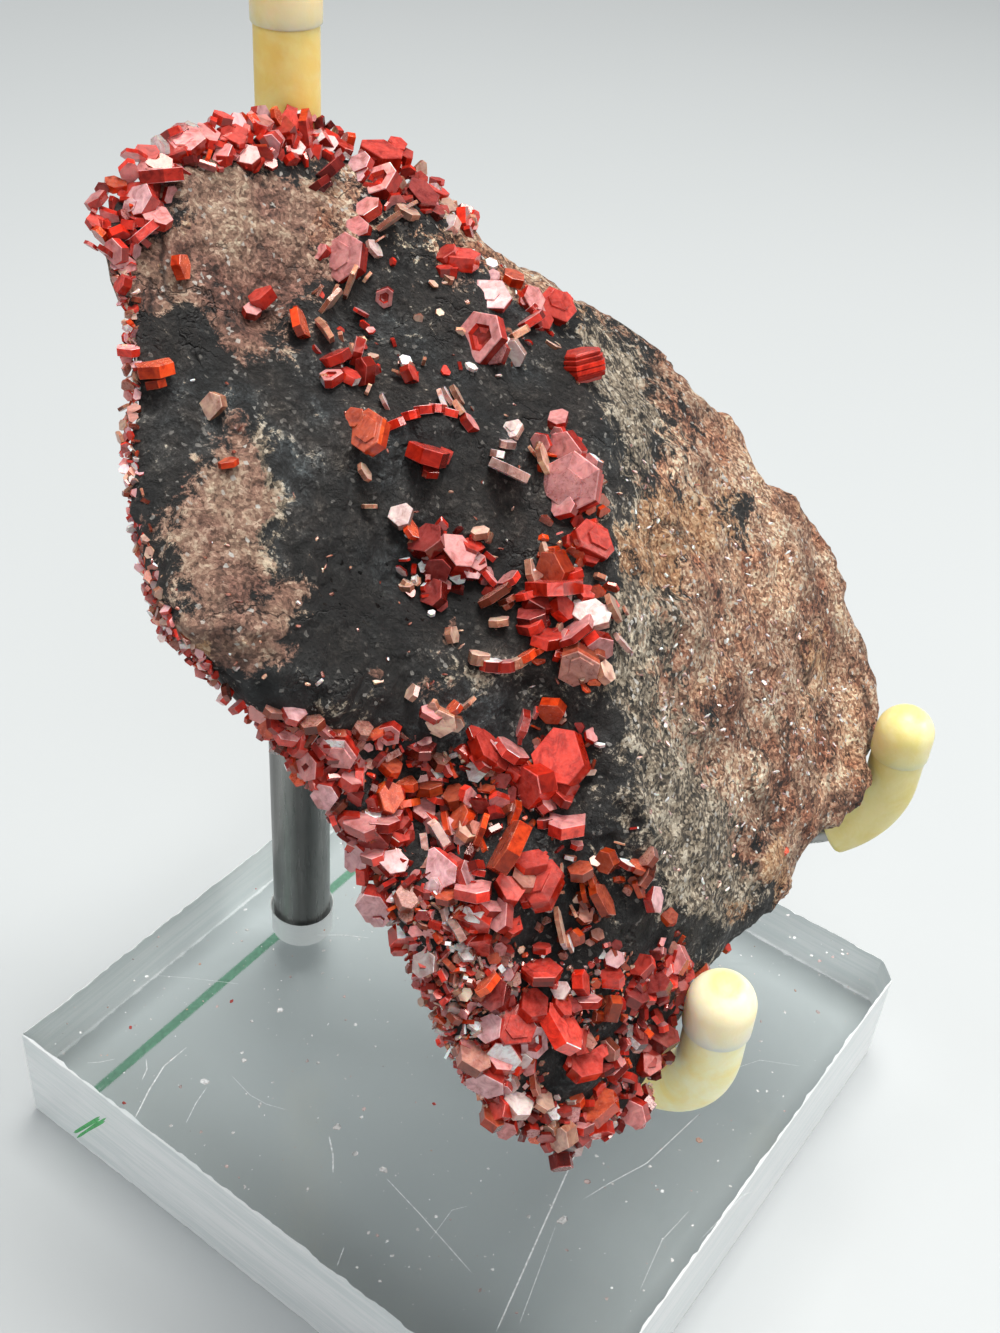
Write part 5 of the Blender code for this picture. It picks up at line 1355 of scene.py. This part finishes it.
def put_cap(node, middle, top, material):
    """A round-ended cap over a sleeve's end: a dome and a straight skirt with a rounded lip.

    The glow mask is 1 within half the dome's radius and falls to 0 outside it.
    """
    outer, low = CAP_DIA / 2, top - CAP_LENGTH
    arc = [(outer * math.sin(angle), top - outer + outer * math.cos(angle))
           for angle in np.linspace(0, math.pi / 2, 14)]
    skirt = rounded([(outer, top - outer), (outer, low), (0, low)], 0.16)
    points, faces = turned(arc + skirt[1:], middle)
    off = np.hypot(points[:, 0] - middle[0], points[:, 1] - middle[1])
    glow = soft_step((0.5 * outer - off) / 0.12) * (points[:, 2] > top - outer + 0.1)
    zones = np.repeat(glow[:, None], 4, axis=1)
    piece = put_mesh(node + "_dome", points, faces, [material], zones=zones, slot="silicone")
    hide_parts(node)


def on_level(column, row, height):
    """Where lines of sight meet a level plane."""
    line = sight_line(column, row)
    return EYE + line * ((height - EYE[2]) / line[..., 2])[..., None]


def stroke(path, width, lift=(0, 0, 0.015)):
    """A thin pen or scratch stroke: a flat diamond carried along a path, drawn in at both ends."""
    path, lift = np.array(path, float), np.array(lift)
    share = np.linspace(0, 1, len(path))
    half = width / 2 * (1 - np.abs(2 * share - 1) ** 6) ** 0.5
    ahead = np.gradient(path, axis=0)
    side = np.cross(ahead, lift)
    side *= (half / np.linalg.norm(side, axis=1))[:, None]
    thin = (half / half.max())[:, None] * lift
    return shell(np.stack([path + side, path + thin, path - side, path - thin], axis=1))


def build_marks(finish):
    """Specks of dust, scratches and a pen line on the slab: tiny thin flakes and strokes."""
    chance = np.random.default_rng(CRYSTAL_SEED + 300)
    half = SLAB_SIDE / 2 - 1
    flat = chance.uniform(-half, half, (DUST_COUNT, 2))
    flat = flat[np.hypot(*(flat - POST).T) > POST_DIA / 2 + 1]
    width = DUST_LEAST + DUST_MORE * chance.random(len(flat)) ** 3.0
    column, row, size = np.array(SPECKS, float).T
    flat = np.vstack([flat, on_level(column, row, SLAB_THICK)[:, :2]])
    width = np.concatenate([width, size])
    middles = np.column_stack([flat, np.full(len(flat), SLAB_THICK - 0.02)])
    axes = np.column_stack([chance.normal(0, 0.12, (len(flat), 2)), np.ones(len(flat))])
    axes /= np.linalg.norm(axes, axis=1)[:, None]
    thick = np.full(len(flat), DUST_THICK)
    points, faces, frost, owner = crystal_points(middles, axes, width, thick, "crumb", chance,
                                                 DUST_UNEVEN)
    names = list(DUST_TONES)
    picked = [names[index] for index in chance.choice(4, len(flat), p=list(DUST_TONES.values()))]
    batches = [(points, faces, crystal_tints(picked, frost, owner, chance))]

    def draw(path, count, colour, width, **lift):
        """Add a stroke along a path of straight runs."""
        points, faces = stroke(resampled(path, count), width, **lift)
        batches.append((points, faces, np.tile((*colour, 1.0), (len(faces), 1))))

    for width, *places in SCRATCHES:
        draw(on_level(*np.array(places, float).T, SLAB_THICK), 40, SCRATCHED, width)
    half = SLAB_SIDE / 2
    for back in PEN_ROWS:
        ends = half - chance.uniform(0.1, 2.5, 2)
        draw([(-ends[0], back, 0.03), (ends[1], back, 0.03)], 30, *PEN)
        low, high = 0.4 + chance.uniform(0, 1.2), SLAB_THICK * chance.uniform(0.58, 0.74)
        draw([(-half, back, low), (-half, back - 0.6 * high, high)], 12, *SIDE_PEN, lift=(-0.015, 0, 0))
    points, faces, tints = joined(batches)
    put_mesh("slab_marks", points, faces, [finish], False, tint=tints, slot="clear_acrylic")


# --- floor, light and camera ---------------------------------------------------------------------
def turned_to(item, side, upright, back, place):
    """Turn an object to three directions and put it at a place, in metres."""
    axes = np.column_stack([side, upright, back, place])
    item.matrix_world = Matrix(np.vstack([axes, (0, 0, 0, 1)]).tolist())


# Soft lights: name, place, size, power and colour.
LIGHTS = (
    ("overhead_light", (0.12, 0.00, 0.72), (0.40, 0.32), 7.6, (1.0, 0.98, 0.95)),
    ("window_light", (-0.60, 0.75, 0.60), (0.40, 0.40), 1.9, (0.94, 0.97, 1.0)),
    ("front_light", (-0.56, -0.50, 0.80), (0.55, 0.55), 4.2, (1.0, 1.0, 1.0)),
    ("side_light", (0.45, -0.60, 0.50), (0.18, 0.24), 2.2, (1.0, 0.98, 0.96)),
)
LIGHTS_AIM = (0.0, 0.0, 0.06)
FLOOR_REACH, FLOOR_TONES = 4.0, ((0.41, 0.432, 0.438), (0.435, 0.452, 0.458))
ROOM_COLOUR, ROOM_STRENGTH = (0.80, 0.86, 0.90, 1), 0.26


def build_lights():
    """Square soft lights that face the specimen, and a dim even room."""
    for name, place, size, power, colour in LIGHTS:
        lamp = bpy.data.lights.new(name, "AREA")
        lamp.shape = "RECTANGLE"
        lamp.size, lamp.size_y = size
        lamp.energy = power
        lamp.color = colour
        back = np.array(place) - LIGHTS_AIM
        back /= np.linalg.norm(back)
        side = np.cross((0, 0, 1.0), back)
        side /= np.linalg.norm(side)
        turned_to(placed(name, lamp), side, np.cross(back, side), back, place)
    world = bpy.data.worlds.new("room")
    world.use_nodes = True
    sky = world.node_tree.nodes["Background"].inputs
    sky["Color"].default_value = ROOM_COLOUR
    sky["Strength"].default_value = ROOM_STRENGTH
    bpy.context.scene.world = world


def build_floor():
    """A plain pale floor."""
    pale = Finish("pale_floor")
    finish = pale.give(Base_Color=pale.mix(pale.noise(6, 3, 0.5), *FLOOR_TONES), Roughness=0.7)
    mesh = bpy.data.meshes.new("floor")
    corners = [(x * FLOOR_REACH, y * FLOOR_REACH, 0) for x, y in ((-1, -1), (1, -1), (1, 1), (-1, 1))]
    mesh.from_pydata(corners, [], [(0, 1, 2, 3)])
    mesh.materials.append(finish)
    ground = placed("floor", mesh)


def build_camera():
    """The camera, at the sighting eye."""
    lens = bpy.data.cameras.new("view")
    lens.sensor_fit = "VERTICAL"
    lens.sensor_height = 36.0
    lens.lens = FRAME_FOCAL / FRAME_HEIGHT * lens.sensor_height
    lens.clip_start = 0.001
    camera = placed("view", lens)
    turned_to(camera, RIGHT, UP, -AHEAD, EYE * MM)
    bpy.context.scene.camera = camera
    bpy.context.scene.view_settings.view_transform = "Standard"


# Finish, colour, warm colour and the depth that light reaches, for each sleeve and cap.
SILICONES = {
    "rod": ("amber_silicone", (0.95, 0.74, 0.28), (0.90, 0.63, 0.17), 0.0012),
    "left": ("cream_silicone", (0.98, 0.88, 0.56), (0.97, 0.76, 0.30), 0.0012),
    "right": ("grey_silicone", (0.76, 0.68, 0.34), (0.70, 0.60, 0.22), 0.0012),
    "left_cap": ("cream_cap_silicone", (0.88, 0.82, 0.62), (0.86, 0.76, 0.48), 0.003),
    "right_cap": ("grey_cap_silicone", (0.78, 0.72, 0.40), (0.74, 0.66, 0.28), 0.003),
    "post_cap": ("amber_cap_silicone", (0.85, 0.74, 0.46), (0.82, 0.66, 0.30), 0.003),
}


# The slab's finishes: colour, roughness and how far marks roughen it where it is clear, and colour,
# streaks' colour and scale along each axis where it is cut.
CLEAR = ("clear_acrylic", (0.97, 0.99, 0.985), 0.02, 0.25)
SAWN = ("sawn_acrylic", (0.82, 0.86, 0.86), (1.0, 1.0, 1.0), (0.05, 0.05, 1.0))
DRILLED = ("drilled_acrylic", (0.90, 0.91, 0.90), (0.96, 0.96, 0.95), (0.2, 0.2, 1.0))


def main():
    """Build every piece, the floor, the lights and the camera."""
    build_matrix(matrix_finish())
    build_crystals(crystal_finish())
    build_slab(clear_finish(*CLEAR), sawn_finish(*SAWN), sawn_finish(*DRILLED))
    build_stand({"post": steel_finish("banded_steel", POST_REFLECTION_BANDS), "rod": steel_finish("satin_steel")},
                {part: silicone_finish(*values) for part, values in SILICONES.items()})
    build_marks(marks_finish())
    build_floor()
    build_lights()
    build_camera()


main()
